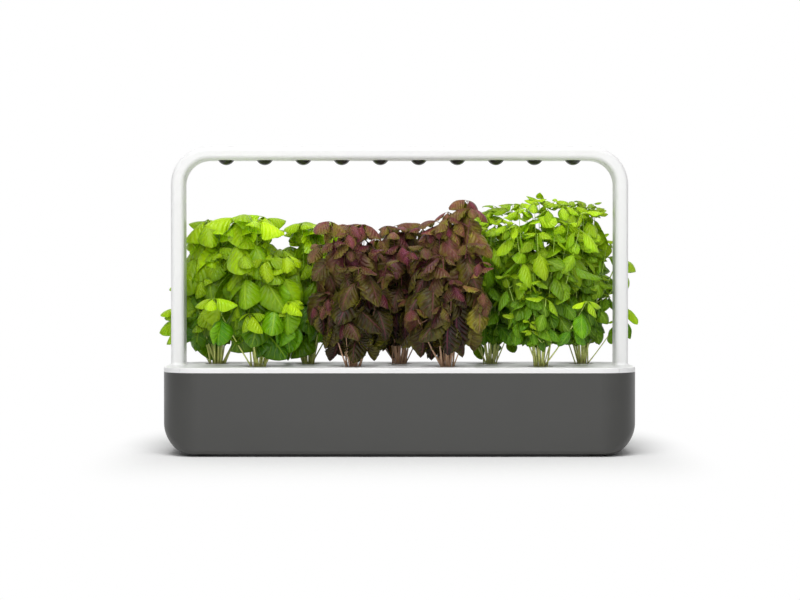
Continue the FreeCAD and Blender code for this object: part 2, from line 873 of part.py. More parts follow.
sweet_basil = {
    "crown": 300.0, "stems": 4, "pairs": 2, "leaf_length": 56.0, "leaf_width": 41.0,
    "spread": 30.0, "first": 0.40, "droop": -46.0, "fold": 14.0,
}
purple_basil = {
    "crown": 302.0, "stems": 4, "pairs": 2, "leaf_length": 60.0, "leaf_width": 38.0,
    "spread": 31.0, "first": 0.40, "droop": -66.0, "fold": 16.0,
}
lemon_basil = {
    "crown": 312.0, "stems": 4, "pairs": 3, "leaf_length": 44.0, "leaf_width": 25.0,
    "spread": 31.0, "first": 0.30, "droop": -34.0, "fold": 12.0,
}
plant_kinds = [sweet_basil] * 3 + [purple_basil] * 3 + [lemon_basil] * 3
plant_crown_steps = [2.0, -6.0, 8.0, -2.0, 8.0, -4.0, 0.0, 12.0, -6.0]


def cell_limits(index):
    # half planes (a, b, c) with a*x + b*y <= c that bound the cell of one plant
    x, y = pod_place(index)
    limits = [(0.0, 1.0, half_depth - 4.0), (0.0, -1.0, half_depth - 4.0)]
    for other in range(pod_count):
        if abs(other - index) in (1, 2):
            ox, oy = pod_place(other)
            span = math.hypot(ox - x, oy - y)
            a = (ox - x) / span
            b = (oy - y) / span
            limits.append((a, b, a * (ox + x) / 2 + b * (oy + y) / 2 - cell_gap))
    limits.append((1.0, 0.0, foliage_half_reach))
    limits.append((-1.0, 0.0, foliage_half_reach))
    if index in (0, pod_count - 1):
        # the end plants pass behind the arms: a line from the back corner of the arm to the far reach
        side = 1 if index else -1
        near_x = arch_half - leg_width - 1.5
        near_y = leg_depth / 2 + 1.0
        rise = 0.45
        span = math.hypot(rise, 1.0)
        limits.append((side * rise / span, -1.0 / span, (rise * near_x - near_y) / span))
    return limits


def inside(limits, points):
    return all(a * p.x + b * p.y <= c + 0.001 for p in points for a, b, c in limits)


def leaf_frame(azimuth, pitch):
    turn = math.radians(azimuth)
    tilt = math.radians(pitch)
    along = Vector(math.cos(turn) * math.cos(tilt), math.sin(turn) * math.cos(tilt), math.sin(tilt))
    across = Vector(-math.sin(turn), math.cos(turn), 0)
    return along, across, along.cross(across)


def leaf_outline(base, azimuth, pitch, length, width, fold):
    # both halves of the blade hang from a straight midrib, like a low roof
    along, across, normal = leaf_frame(azimuth, pitch)
    sag = math.radians(fold)
    tip = base + along * length
    halves = []
    for side in (-1, 1):
        edge = across * (side * math.cos(sag)) - normal * math.sin(sag)
        wide = base + along * (0.4 * length) + edge * (width / 2)
        narrow = base + along * (0.78 * length) + edge * (0.38 * width)
        halves.append((base, wide, narrow, tip))
    return halves, normal


def leaf_solid(halves, normal):
    lift = normal * leaf_thickness
    faces = []
    for ring in halves:
        ring = list(ring)
        raised = [p + lift for p in ring]
        faces.append(Part.Face(Part.makePolygon(ring + ring[:1])))
        faces.append(Part.Face(Part.makePolygon(raised + raised[:1])))
        for k in range(3):
            quad = [ring[k], ring[k + 1], raised[k + 1], raised[k]]
            faces.append(Part.Face(Part.makePolygon(quad + quad[:1])))
    solid = Part.Solid(Part.Shell(faces))
    if solid.Volume < 0:
        solid.reverse()
    return solid


def fitted_leaf(limits, base, azimuth, pitch, length, width, fold):
    # a leaf that would cross into the next cell grows shorter
    while length > 12.0:
        halves, normal = leaf_outline(base, azimuth, pitch, length, width, fold)
        corners = [p for half in halves for p in half]
        corners += [p + normal * leaf_thickness for p in corners]
        low_enough = max(p.z for p in corners) <= foliage_top_limit
        high_enough = min(p.z for p in corners) >= lid_top + 3.0
        if inside(limits, corners) and low_enough and high_enough:
            return leaf_solid(halves, normal)
        length *= 0.92
        width *= 0.94
    return None


def stem_solid(points, radii):
    # a four-sided tapering stem through the given points
    rings = []
    for point, radius in zip(points, radii):
        corners = [Vector(radius, 0, 0), Vector(0, radius, 0), Vector(-radius, 0, 0), Vector(0, -radius, 0)]
        rings.append([point + corner for corner in corners])
    faces = [Part.Face(Part.makePolygon(rings[0] + rings[0][:1]))]
    faces.append(Part.Face(Part.makePolygon(rings[-1] + rings[-1][:1])))
    for low, high in zip(rings, rings[1:]):
        for k in range(4):
            j = (k + 1) % 4
            faces.append(Part.Face(Part.makePolygon([low[k], low[j], high[j], high[k], low[k]])))
    solid = Part.Solid(Part.Shell(faces))
    if solid.Volume < 0:
        solid.reverse()
    return solid


def make_plant(index):
    kind = plant_kinds[index]
    x, y = pod_place(index)
    limits = cell_limits(index)
    soil = lid_top - plug_top_drop
    crown = kind["crown"] + plant_crown_steps[index]
    pieces = []
    for number in range(kind["stems"]):
        azimuth = 40.0 + 360.0 * number / kind["stems"] + 37.0 * index
        turn = math.radians(azimuth)
        lean = kind["spread"]
        foot = Vector(x + stem_foot_ring * math.cos(turn), y + stem_foot_ring * math.sin(turn), soil)
        height = crown - soil - 16.0 * (number % 2)
        top = foot + Vector(lean * math.cos(turn), lean * math.sin(turn), height)
        while not inside(limits, [top + Vector(6 * i, 6 * j, 0) for i in (-1, 1) for j in (-1, 1)]):
            lean *= 0.9
            top = foot + Vector(lean * math.cos(turn), lean * math.sin(turn), height)
        pieces.append(stem_solid([foot, top], [stem_base_radius, stem_top_radius]))
        for pair in range(kind["pairs"] + 1):
            share = kind["first"] + (0.98 - kind["first"]) * pair / kind["pairs"]
            node = foot + (top - foot) * share
            pitch = kind["droop"] + 30.0 * share
            size = 1.0 - 0.12 * (pair == kind["pairs"])
            for half in (0, 180):
                leaf = fitted_leaf(
                    limits, node, azimuth + 90.0 * pair + half + 15.0 * number, pitch,
                    size * kind["leaf_length"], size * kind["leaf_width"], kind["fold"],
                )
                if leaf:
                    pieces.append(leaf)
    if index in (0, pod_count - 1):
        pieces.extend(reaching_branch(index, limits, kind))
    plant = pieces[0].multiFuse(pieces[1:])
    return one_solid(plant)


def reaching_branch(index, limits, kind):
    # the branch behind the arm, whose last leaf ends the garden's full width
    side = 1 if index else -1
    x, y = pod_place(index)
    soil = lid_top - plug_top_drop
    foot = Vector(x + side * stem_foot_ring, y, soil)
    node = Vector(x + side * 46.0, y + 14.0, lid_top + 95.0)
    branch = [stem_solid([foot, node], [stem_base_radius, stem_top_radius])]
    along, across, normal = leaf_frame(0.0 if side > 0 else 180.0, -4.0)
    length = (foliage_half_reach - abs(node.x)) / abs(along.x)
    while length * abs(along.x) + normal.x * side * leaf_thickness + abs(node.x) > foliage_half_reach + 0.0001:
        length -= 0.001
    halves, normal = leaf_outline(node, 0.0 if side > 0 else 180.0, -4.0, length, 24.0, 10.0)
    branch.append(leaf_solid(halves, normal))
    for turn, rise in ((75.0, 18.0), (-40.0, 30.0)):
        azimuth = turn if side > 0 else 180.0 - turn
        leaf = fitted_leaf(limits, node, azimuth, rise, kind["leaf_length"] * 0.8, kind["leaf_width"] * 0.8, 12.0)
        if leaf:
            branch.append(leaf)
    return branch


def as_shape(made):
    return Part.makeCompound(made) if isinstance(made, list) else made


makers = {
    "tub": make_tub,
    "base_plate": make_base_plate,
    "rubber_feet": make_rubber_feet,
    "plate_screws": make_plate_screws,
    "end_deck_left": lambda: make_end_deck(-1),
    "end_deck_right": lambda: make_end_deck(1),
    "power_board": make_power_board,
    "board_screws": make_board_screws,
    "dc_jack": make_dc_jack,
    "button_switch": make_button_switch,
    "power_button": make_power_button,
    "base_contact_block": make_base_contact_block,
    "base_lead": make_base_lead,
    "lid": make_lid,
    "float_guide": make_float_guide,
    "float_foam": make_float_foam,
    "float_stem": make_float_stem,
    "arm_left": lambda: make_arm(-1),
    "arm_right": lambda: make_arm(1),
    "arm_contact_blocks": make_arm_contact_blocks,
    "arm_lead": make_arm_lead,
    "lamp_shell": make_lamp_shell,
    "lamp_cover": make_lamp_cover,
    "led_board": make_led_board,
    "led_chips": make_led_chips,
    "led_lenses": make_led_lenses,
    "lamp_lead": make_lamp_lead,
    "lamp_contact_block": make_lamp_contact_block,
}

os.makedirs("parts", exist_ok=True)
for node, maker in makers.items():
    as_shape(maker()).exportStep(f"parts/{node}.step")
for index in range(pod_count):
    make_cup(index).exportStep(f"parts/cup_{index + 1}.step")
    make_soil_plug(index).exportStep(f"parts/soil_plug_{index + 1}.step")
    make_plant(index).exportStep(f"parts/plant_{index + 1}.step")
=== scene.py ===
import json
import math
import random
import bmesh
import bpy
from mathutils import Matrix, Vector


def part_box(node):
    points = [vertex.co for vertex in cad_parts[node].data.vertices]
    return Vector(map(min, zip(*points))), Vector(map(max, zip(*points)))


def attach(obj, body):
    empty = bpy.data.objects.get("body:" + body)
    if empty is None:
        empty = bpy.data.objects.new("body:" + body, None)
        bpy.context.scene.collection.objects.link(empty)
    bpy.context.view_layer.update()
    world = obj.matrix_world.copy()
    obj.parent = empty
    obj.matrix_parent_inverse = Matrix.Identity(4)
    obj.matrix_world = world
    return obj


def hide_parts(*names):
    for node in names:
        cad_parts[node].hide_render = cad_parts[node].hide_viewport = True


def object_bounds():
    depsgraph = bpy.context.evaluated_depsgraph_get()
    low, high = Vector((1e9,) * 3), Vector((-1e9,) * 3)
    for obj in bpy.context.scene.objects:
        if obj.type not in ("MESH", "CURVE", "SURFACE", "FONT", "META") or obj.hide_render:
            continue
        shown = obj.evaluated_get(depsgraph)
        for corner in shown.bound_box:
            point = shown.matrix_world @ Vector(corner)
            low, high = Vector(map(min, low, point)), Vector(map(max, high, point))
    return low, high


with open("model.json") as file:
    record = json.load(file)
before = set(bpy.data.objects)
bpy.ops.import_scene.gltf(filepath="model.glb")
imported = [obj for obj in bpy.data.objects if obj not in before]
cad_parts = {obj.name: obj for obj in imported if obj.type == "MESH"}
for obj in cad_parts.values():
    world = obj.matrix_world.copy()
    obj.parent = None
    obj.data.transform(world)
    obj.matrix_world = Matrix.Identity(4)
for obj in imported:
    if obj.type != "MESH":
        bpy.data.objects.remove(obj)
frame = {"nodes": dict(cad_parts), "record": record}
nodes = frame["nodes"]
cadLow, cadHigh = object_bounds()
print("frame loaded:", len(nodes), "nodes")

scene = bpy.context.scene
scene.view_settings.view_transform = "Standard"

mm = 0.001  # sizes below are written in millimetres and turned to metres with this

# camera and studio

studio = {
    "cameraPlace": (0.6, -2592.5, 233.7),  # mm, 2.5 m in front of the tub
    "cameraTilt": 0.77,                    # degrees below level
    "lens": 88.54,
    "sensorWidth": 36.0,
    "farthestSeen": 60.0,                  # m
    "floorHalf": 9000.0,
    "floorColour": (0.90, 0.90, 0.90),
    "floorRoughness": 0.9,
    "floorSpecular": 0.1,
    "shadowInset": 12.0,                   # mm inside the ends of the tub where the floor starts to whiten
    "shadowSide": 110.0,                   # mm beside the tub over which it turns white
    "shadowFront": 380.0,                  # the same in front of the tub and behind it
    "skyLevel": 0.62,
    "sideShare": 0.12,                     # how much of that comes from the dark sides of the studio
    "sideBand": (0.3, 0.85),               # sideways part of a ray where the sky starts and stops darkening
    "backdropLevel": 1.0,                  # what polished faces mirror from behind the object
    "backdropBand": (0.1, 0.6),            # backward part of a mirrored ray where white starts and is full
    "softboxes": {
        "overhead": {
            "place": (-100.0, -950.0, 2000.0), "size": 1600.0, "power": 30.0, "aim": (0.0, 0.0, 150.0),
        },
        "front": {
            "place": (-150.0, -3400.0, 1200.0), "size": 2000.0, "power": 19.0, "aim": (0.0, 0.0, 200.0),
        },
    },
}


def makeCamera():
    data = bpy.data.cameras.new("photoCamera")
    data.lens = studio["lens"]
    data.sensor_width = studio["sensorWidth"]
    data.clip_end = studio["farthestSeen"]
    camera = bpy.data.objects.new("photoCamera", data)
    camera.location = Vector(studio["cameraPlace"]) * mm
    camera.rotation_euler = (math.radians(90.0 - studio["cameraTilt"]), 0.0, 0.0)
    scene.collection.objects.link(camera)
    scene.camera = camera


def makeSoftbox(name, place, size, power, aim):
    data = bpy.data.lights.new(name, "AREA")
    data.shape = "SQUARE"
    data.size = size * mm
    data.energy = power
    lamp = bpy.data.objects.new(name, data)
    lamp.location = Vector(place) * mm
    scene.collection.objects.link(lamp)
    direction = Vector(aim) * mm - lamp.location
    lamp.rotation_euler = direction.to_track_quat("-Z", "Y").to_euler()


def makeSky():
    # seen directly it is white; as light it is even, but dim from the sides
    world = bpy.data.worlds.new("studioSky")
    scene.world = world
    world.use_nodes = True
    tree = world.node_tree
    tree.nodes.clear()
    ambient = addNode(tree, "ShaderNodeBackground")
    white = addNode(tree, "ShaderNodeBackground")
    for background in (ambient, white):
        background.inputs["Color"].default_value = (1.0, 1.0, 1.0, 1.0)
    white.inputs["Strength"].default_value = studio["backdropLevel"]
    direction = addNode(tree, "ShaderNodeSeparateXYZ")
    feed(tree, addNode(tree, "ShaderNodeTexCoord").outputs["Generated"], direction.inputs[0])
    sideways = calc(tree, "ABSOLUTE", direction.outputs["X"])
    side = mapped(tree, sideways, *studio["sideBand"], 1.0, studio["sideShare"], True)
    feed(tree, calc(tree, "MULTIPLY", side, studio["skyLevel"]), ambient.inputs["Strength"])
    path = addNode(tree, "ShaderNodeLightPath")
    behind = mapped(tree, direction.outputs["Y"], *studio["backdropBand"], 0.0, 1.0, True)
    mirrored = calc(tree, "MULTIPLY", path.outputs["Is Glossy Ray"], behind)
    blend = addNode(tree, "ShaderNodeMixShader")
    feed(tree, calc(tree, "MAXIMUM", path.outputs["Is Camera Ray"], mirrored), blend.inputs["Fac"])
    feed(tree, ambient.outputs[0], blend.inputs[1])
    feed(tree, white.outputs[0], blend.inputs[2])
    feed(tree, blend.outputs[0], addNode(tree, "ShaderNodeOutputWorld").inputs["Surface"])


# shader helpers


def addNode(tree, kind, **values):
    node = tree.nodes.new(kind)
    for key, value in values.items():
        setattr(node, key, value)
    return node


def feed(tree, value, socket):
    # a value is another node's output, or a plain number or colour
    if isinstance(value, bpy.types.NodeSocket):
        tree.links.new(value, socket)
    else:
        socket.default_value = value


def calc(tree, operation, *values):
    node = addNode(tree, "ShaderNodeMath", operation=operation)
    for value, socket in zip(values, node.inputs):
        feed(tree, value, socket)
    return node.outputs[0]


def mapped(tree, value, fromLow, fromHigh, toLow, toHigh, smooth=False):
    node = addNode(tree, "ShaderNodeMapRange")
    node.interpolation_type = "SMOOTHSTEP" if smooth else "LINEAR"
    for key, number in zip(("Value", "From Min", "From Max", "To Min", "To Max"),
                           (value, fromLow, fromHigh, toLow, toHigh)):
        feed(tree, number, node.inputs[key])
    return node.outputs["Result"]


def mixed(tree, factor, first, second, blend="MIX"):
    # a colour is another node's output, or its three plain numbers
    node = addNode(tree, "ShaderNodeMix", data_type="RGBA", blend_type=blend)
    feed(tree, factor, node.inputs["Factor"])
    for colour, key in ((first, "A"), (second, "B")):
        feed(tree, (*colour, 1.0) if isinstance(colour, tuple) else colour, node.inputs[key])
    return node.outputs["Result"]


def noise(tree, vector, scale, detail=2.0, roughness=0.5):
    node = addNode(tree, "ShaderNodeTexNoise")
    for key, value in zip(("Vector", "Scale", "Detail", "Roughness"), (vector, scale, detail, roughness)):
        feed(tree, value, node.inputs[key])
    return node.outputs["Fac"]


def objectPlace(tree):
    return addNode(tree, "ShaderNodeTexCoord").outputs["Object"]


def startGroup(name, inputs, outputs):
    group = bpy.data.node_groups.new(name, "ShaderNodeTree")
    for socketName, kind, value in inputs:
        socket = group.interface.new_socket(name=socketName, in_out="INPUT", socket_type=kind)
        if value is not None:
            socket.default_value = value
    for socketName in outputs:
        group.interface.new_socket(name=socketName, in_out="OUTPUT", socket_type="NodeSocketFloat")
    return group, addNode(group, "NodeGroupInput").outputs, addNode(group, "NodeGroupOutput").inputs


mouldPattern = {
    "grainScale": 2600.0, "grainDetail": 3.0, "grainDepth": 0.00004, "grainStrength": 0.35,
    "patchScale": 14.0, "patchDetail": 4.0, "patchBand": (0.3, 0.7),
}


def makeMouldedSkin():
    # fine grain of a moulded plastic, with faint cloudy patches where it has been handled
    group, given, result = startGroup(
        "mouldedSkin",
        [("Place", "NodeSocketVector", None), ("Grain Scale", "NodeSocketFloat", mouldPattern["grainScale"]),
         ("Patch Scale", "NodeSocketFloat", mouldPattern["patchScale"])],
        ["Grain", "Patches"],
    )
    grain = noise(group, given["Place"], given["Grain Scale"], mouldPattern["grainDetail"])
    patch = noise(group, given["Place"], given["Patch Scale"], mouldPattern["patchDetail"])
    feed(group, grain, result["Grain"])
    feed(group, mapped(group, patch, *mouldPattern["patchBand"], 0.0, 1.0, True), result["Patches"])
    return group


veinPattern = {
    "count": 7.0, "sweep": 1.6, "width": 0.08,       # of the side veins, where a leaf gives no other
    "wanderScale": 5.0, "wander": 0.35,              # how far they stray from a regular row
    "fadeBand": (0.55, 1.0), "fadeTo": 0.1,          # part of the half width over which they fade
    "midribBand": (0.02, 0.10),
    "swellBand": (0.0, 0.35),
    "marginBand": (0.35, 1.0), "marginLevel": 0.6,
}


def makeLeafVeins():
    # veins of a leaf on its own UV map: U across the blade, V from the stalk to the tip
    group, given, result = startGroup(
        "leafVeins",
        [("UV", "NodeSocketVector", None), ("Side Veins", "NodeSocketFloat", veinPattern["count"]),
         ("Sweep", "NodeSocketFloat", veinPattern["sweep"]),
         ("Vein Width", "NodeSocketFloat", veinPattern["width"])],
        ["Veins", "Swell", "Margin"],
    )
    split = addNode(group, "ShaderNodeSeparateXYZ")
    feed(group, given["UV"], split.inputs[0])
    across = calc(group, "ABSOLUTE", calc(group, "MULTIPLY_ADD", split.outputs["X"], 2.0, -1.0))
    wander = noise(group, given["UV"], veinPattern["wanderScale"])
    climb = calc(group, "MULTIPLY", across, given["Sweep"])
    phase = calc(group, "SUBTRACT", calc(group, "MULTIPLY", split.outputs["Y"], given["Side Veins"]), climb)
    phase = calc(group, "ADD", phase, calc(group, "MULTIPLY", wander, veinPattern["wander"]))
    wave = calc(group, "ABSOLUTE", calc(group, "SUBTRACT", calc(group, "FRACT", phase), 0.5))
    side = mapped(group, wave, 0.0, given["Vein Width"], 1.0, 0.0, True)
    fade = mapped(group, across, *veinPattern["fadeBand"], 1.0, veinPattern["fadeTo"], True)
    midrib = mapped(group, across, *veinPattern["midribBand"], 1.0, 0.0, True)
    feed(group, calc(group, "MAXIMUM", calc(group, "MULTIPLY", side, fade), midrib), result["Veins"])
    swell = calc(group, "MULTIPLY", mapped(group, wave, 0.0, 0.5, 0.0, 1.0, True),
                 mapped(group, across, *veinPattern["swellBand"], 0.0, 1.0, True))
    feed(group, swell, result["Swell"])
    margin = mapped(group, across, *veinPattern["marginBand"], 0.0, veinPattern["marginLevel"], True)
    feed(group, margin, result["Margin"])
    return group


mouldedSkin = makeMouldedSkin()
leafVeins = makeLeafVeins()

# materials


def startMaterial(name, roughness=0.5, metallic=0.0):
    material = bpy.data.materials.new(name)
    material.use_nodes = True
    tree = material.node_tree
    shader = tree.nodes["Principled BSDF"]
    shader.inputs["Roughness"].default_value = roughness
    shader.inputs["Metallic"].default_value = metallic
    return material, tree, shader


def bumped(tree, shader, height, strength, distance):
    bump = addNode(tree, "ShaderNodeBump")
    bump.inputs["Strength"].default_value = strength
    bump.inputs["Distance"].default_value = distance
    feed(tree, height, bump.inputs["Height"])
    tree.links.new(bump.outputs["Normal"], shader.inputs["Normal"])


def mouldedPlastic(name, colour, worn, roughness, spread, grainScale=mouldPattern["grainScale"],
                   grainDepth=mouldPattern["grainDepth"]):
    # one moulded part: even colour with a slightly different worn tint in patches, and a fine skin
    material, tree, shader = startMaterial(name)
    skin = addNode(tree, "ShaderNodeGroup", node_tree=mouldedSkin)
    feed(tree, objectPlace(tree), skin.inputs["Place"])
    skin.inputs["Grain Scale"].default_value = grainScale
    patches = skin.outputs["Patches"]
    feed(tree, mixed(tree, patches, colour, worn), shader.inputs["Base Color"])
    gloss = mapped(tree, patches, 0.0, 1.0, roughness - spread, roughness + spread)
    feed(tree, gloss, shader.inputs["Roughness"])
    bumped(tree, shader, skin.outputs["Grain"], mouldPattern["grainStrength"], grainDepth)
    return material


finishes = {
    "tub_grey": {
        "colour": (0.049, 0.049, 0.046), "worn": (0.053, 0.053, 0.050), "roughness": 0.42, "spread": 0.04,
    },
    "white_plastic": {
        "colour": (0.86, 0.86, 0.86), "worn": (0.84, 0.84, 0.838), "roughness": 0.36, "spread": 0.05,
    },
    "cup_white": {
        "colour": (0.83, 0.83, 0.825), "worn": (0.80, 0.80, 0.79), "roughness": 0.46, "spread": 0.05,
    },
    "underside_black": {
        "colour": (0.022, 0.022, 0.022), "worn": (0.028, 0.028, 0.027), "roughness": 0.6, "spread": 0.06,
    },
    "foot_rubber": {
        "colour": (0.02, 0.02, 0.02), "worn": (0.035, 0.035, 0.034), "roughness": 0.8, "spread": 0.08,
    },
    "inlet_black": {
        "colour": (0.016, 0.016, 0.016), "worn": (0.022, 0.022, 0.022), "roughness": 0.45, "spread": 0.05,
    },
    "lead_black": {
        "colour": (0.014, 0.014, 0.014), "worn": (0.02, 0.02, 0.02), "roughness": 0.55, "spread": 0.06,
    },
    "button_white": {
        "colour": (0.82, 0.82, 0.82), "worn": (0.78, 0.78, 0.775), "roughness": 0.3, "spread": 0.05,
    },
    "float_white": {
        "colour": (0.82, 0.82, 0.81), "worn": (0.76, 0.77, 0.75), "roughness": 0.35, "spread": 0.05,
    },
    "float_foam": {
        "colour": (0.80, 0.80, 0.78), "worn": (0.72, 0.72, 0.69), "roughness": 0.85, "spread": 0.08,
        "grainScale": 700.0, "grainDepth": 0.0004,
    },
    "board_green": {
        "colour": (0.015, 0.12, 0.05), "worn": (0.02, 0.15, 0.06), "roughness": 0.35, "spread": 0.06,
    },
    "board_aluminium": {
        "colour": (0.80, 0.80, 0.79), "worn": (0.75, 0.75, 0.74), "roughness": 0.4, "spread": 0.06,
    },
    "led_yellow": {
        "colour": (0.85, 0.62, 0.10), "worn": (0.75, 0.5, 0.06), "roughness": 0.45, "spread": 0.05,
    },
}

# grain is scale and detail of the noise; band is the part of it over which roughness changes
steelFinish = {
    "dark": (0.50, 0.50, 0.51), "pale": (0.66, 0.66, 0.66), "roughness": (0.22, 0.42), "grain": (900.0, 3.0),
    "band": (0.3, 0.7),
}
lensFinish = {
    "dark": (0.030, 0.029, 0.027), "pale": (0.042, 0.040, 0.037), "roughness": (0.16, 0.26),
    "grain": (60.0, 2.0), "band": (0.3, 0.7), "skin": (400.0, 2.0), "skinStrength": 0.15, "skinDepth": 0.0001,
}
soilFinish = {
    "dark": (0.030, 0.018, 0.010), "pale": (0.10, 0.062, 0.036), "fibre": (0.22, 0.15, 0.085),
    "roughness": (0.98, 0.8), "crumbScale": 700.0, "fibreNoise": (420.0, 5.0, 0.7), "fibreBand": (0.55, 0.68),
    "fibreHeight": 0.4, "strength": 0.9, "depth": 0.0012,
}


def makeScrewSteel():
    material, tree, shader = startMaterial("screw_steel", metallic=1.0)
    streaks = noise(tree, objectPlace(tree), *steelFinish["grain"])
    feed(tree, mixed(tree, streaks, steelFinish["dark"], steelFinish["pale"]), shader.inputs["Base Color"])
    gloss = mapped(tree, streaks, *steelFinish["band"], *steelFinish["roughness"])
    feed(tree, gloss, shader.inputs["Roughness"])
    return material


def makeLensSmoke():
    # dark glossy dome, a touch brown, with the faint unevenness of its mould
    material, tree, shader = startMaterial("lens_smoke")
    cloud = noise(tree, objectPlace(tree), *lensFinish["grain"])
    feed(tree, mixed(tree, cloud, lensFinish["dark"], lensFinish["pale"]), shader.inputs["Base Color"])
    feed(tree, mapped(tree, cloud, *lensFinish["band"], *lensFinish["roughness"]), shader.inputs["Roughness"])
    skin = noise(tree, objectPlace(tree), *lensFinish["skin"])
    bumped(tree, shader, skin, lensFinish["skinStrength"], lensFinish["skinDepth"])
    return material


def makeSoil():
    # peat with pale fibres
    material, tree, shader = startMaterial("soil")
    place = objectPlace(tree)
    crumbs = addNode(tree, "ShaderNodeTexVoronoi")
    feed(tree, place, crumbs.inputs["Vector"])
    crumbs.inputs["Scale"].default_value = soilFinish["crumbScale"]
    crumb = crumbs.outputs["Distance"]
    fibres = noise(tree, place, *soilFinish["fibreNoise"])
    fibres = mapped(tree, fibres, *soilFinish["fibreBand"], 0.0, 1.0, True)
    peat = mixed(tree, crumb, soilFinish["dark"], soilFinish["pale"])
    feed(tree, mixed(tree, fibres, peat, soilFinish["fibre"]), shader.inputs["Base Color"])
    feed(tree, mapped(tree, fibres, 0.0, 1.0, *soilFinish["roughness"]), shader.inputs["Roughness"])
    height = calc(tree, "ADD", crumb, calc(tree, "MULTIPLY", fibres, soilFinish["fibreHeight"]))
    bumped(tree, shader, height, soilFinish["strength"], soilFinish["depth"])
    return material


# shade is the range of painted light and shade over which a leaf's colour is darkened deep in the plant and
# brightened far out and high up
leafFinishes = {
    "leaf_sweet": {
        "old": (0.070, 0.270, 0.001), "young": (0.470, 0.740, 0.002), "vein": (0.52, 0.76, 0.04),
        "roughness": 0.34, "veins": 6.0, "sweep": 1.7, "swell": 0.0009,
        "tint": (0.22, 0.52, 0.001), "tintAmount": 0.5, "shade": (0.28, 1.35),
    },
    "leaf_purple": {
        "old": (0.016, 0.006, 0.004), "young": (0.180, 0.028, 0.050), "vein": (0.30, 0.040, 0.110),
        "roughness": 0.40, "veins": 7.0, "sweep": 1.6, "swell": 0.0011,
        "tint": (0.185, 0.165, 0.012), "tintAmount": 0.90, "shade": (0.0, 1.65),
    },
    "leaf_lemon": {
        "old": (0.085, 0.290, 0.001), "young": (0.470, 0.720, 0.006), "vein": (0.52, 0.76, 0.08),
        "roughness": 0.42, "veins": 6.0, "sweep": 1.9, "swell": 0.0007,
        "tint": (0.20, 0.50, 0.002), "tintAmount": 0.5, "shade": (0.30, 1.35),
    },
}

# what the leaves of all kinds share
leafSkin = {
    "mottle": (90.0, 4.0, 0.6),                       # scale, detail and roughness of the blotches
    "tintBand": (0.35, 0.65), "tintLeast": 0.4,       # where the blotches let the tint through
    "shadeBand": (0.3, 0.7), "shade": (0.86, 1.10),   # how much the blotches darken and brighten
    "veinShare": 0.28,                                # how far the vein colour covers the blade
    "dull": 0.10, "polished": 0.04,                   # change of roughness along the veins and on the swells
    "veinDip": 0.35, "mottleHeight": 0.3, "strength": 0.8,
    "specular": 0.30, "glow": 0.15, "glowColour": (0.6, 0.9, 0.1), "glowScale": 0.004,
}


def glowing(shader, skin):
    # light that passes a little way through a leaf or a stem
    shader.inputs["Subsurface Weight"].default_value = skin["glow"]
    shader.inputs["Subsurface Radius"].default_value = skin["glowColour"]
    shader.inputs["Subsurface Scale"].default_value = skin["glowScale"]


def makeLeafMaterial(name, look):
    # tone comes leaf by leaf from the attribute: red is age, green is tint, blue is painted light and shade,
    # bright far out or high up and dark deep inside the plant
    material, tree, shader = startMaterial(name)
    tone = addNode(tree, "ShaderNodeAttribute", attribute_name="leafTone")
    parts = addNode(tree, "ShaderNodeSeparateColor")
    feed(tree, tone.outputs["Color"], parts.inputs[0])
    veins = addNode(tree, "ShaderNodeGroup", node_tree=leafVeins)
    feed(tree, addNode(tree, "ShaderNodeUVMap", uv_map="UVMap").outputs["UV"], veins.inputs["UV"])
    veins.inputs["Side Veins"].default_value = look["veins"]
    veins.inputs["Sweep"].default_value = look["sweep"]
    mottle = noise(tree, objectPlace(tree), *leafSkin["mottle"])
    blade = mixed(tree, parts.outputs["Red"], look["old"], look["young"])
    tintMask = mapped(tree, mottle, *leafSkin["tintBand"], leafSkin["tintLeast"], 1.0, True)
    tinted = calc(tree, "ADD", veins.outputs["Margin"], parts.outputs["Green"])
    tintMask = calc(tree, "MULTIPLY", tintMask, tinted)
    tintMask = calc(tree, "MINIMUM", tintMask, 1.0)
    blade = mixed(tree, calc(tree, "MULTIPLY", tintMask, look["tintAmount"]), blade, look["tint"])
    # painted shade and light: the blue tone sets how far the leaf's colour is darkened or brightened, then the
    # mottle's blotches vary it
    shade = mapped(tree, parts.outputs["Blue"], 0.0, 1.0, *look["shade"])
    shade = calc(tree, "MULTIPLY", shade, mapped(tree, mottle, *leafSkin["shadeBand"], *leafSkin["shade"]))
    shadeColour = addNode(tree, "ShaderNodeCombineColor")
    for channel in range(3):
        feed(tree, shade, shadeColour.inputs[channel])
    blade = mixed(tree, 1.0, blade, shadeColour.outputs[0], "MULTIPLY")
    veinShare = calc(tree, "MULTIPLY", veins.outputs["Veins"], leafSkin["veinShare"])
    feed(tree, mixed(tree, veinShare, blade, look["vein"]), shader.inputs["Base Color"])
    swell = veins.outputs["Swell"]
    dull = look["roughness"] + leafSkin["dull"]
    polished = look["roughness"] - leafSkin["polished"]
    feed(tree, mapped(tree, swell, 0.0, 1.0, dull, polished), shader.inputs["Roughness"])
    shader.inputs["Specular IOR Level"].default_value = leafSkin["specular"]
    glowing(shader, leafSkin)
    dip = calc(tree, "MULTIPLY", veins.outputs["Veins"], leafSkin["veinDip"])
    height = calc(tree, "SUBTRACT", swell, dip)
    height = calc(tree, "ADD", height, calc(tree, "MULTIPLY", mottle, leafSkin["mottleHeight"]))
    bumped(tree, shader, height, leafSkin["strength"], look["swell"])
    return material


# low is partly the paler woody base and partly painted light against the shade the leaves cast on the lower
# stems
stemFinishes = {
    "stem_sweet": {"low": (0.80, 0.86, 0.26), "high": (0.42, 0.70, 0.06)},
    "stem_purple": {"low": (0.78, 0.50, 0.32), "high": (0.26, 0.07, 0.09)},
    "stem_lemon": {"low": (0.84, 0.90, 0.30), "high": (0.52, 0.76, 0.12)},
}

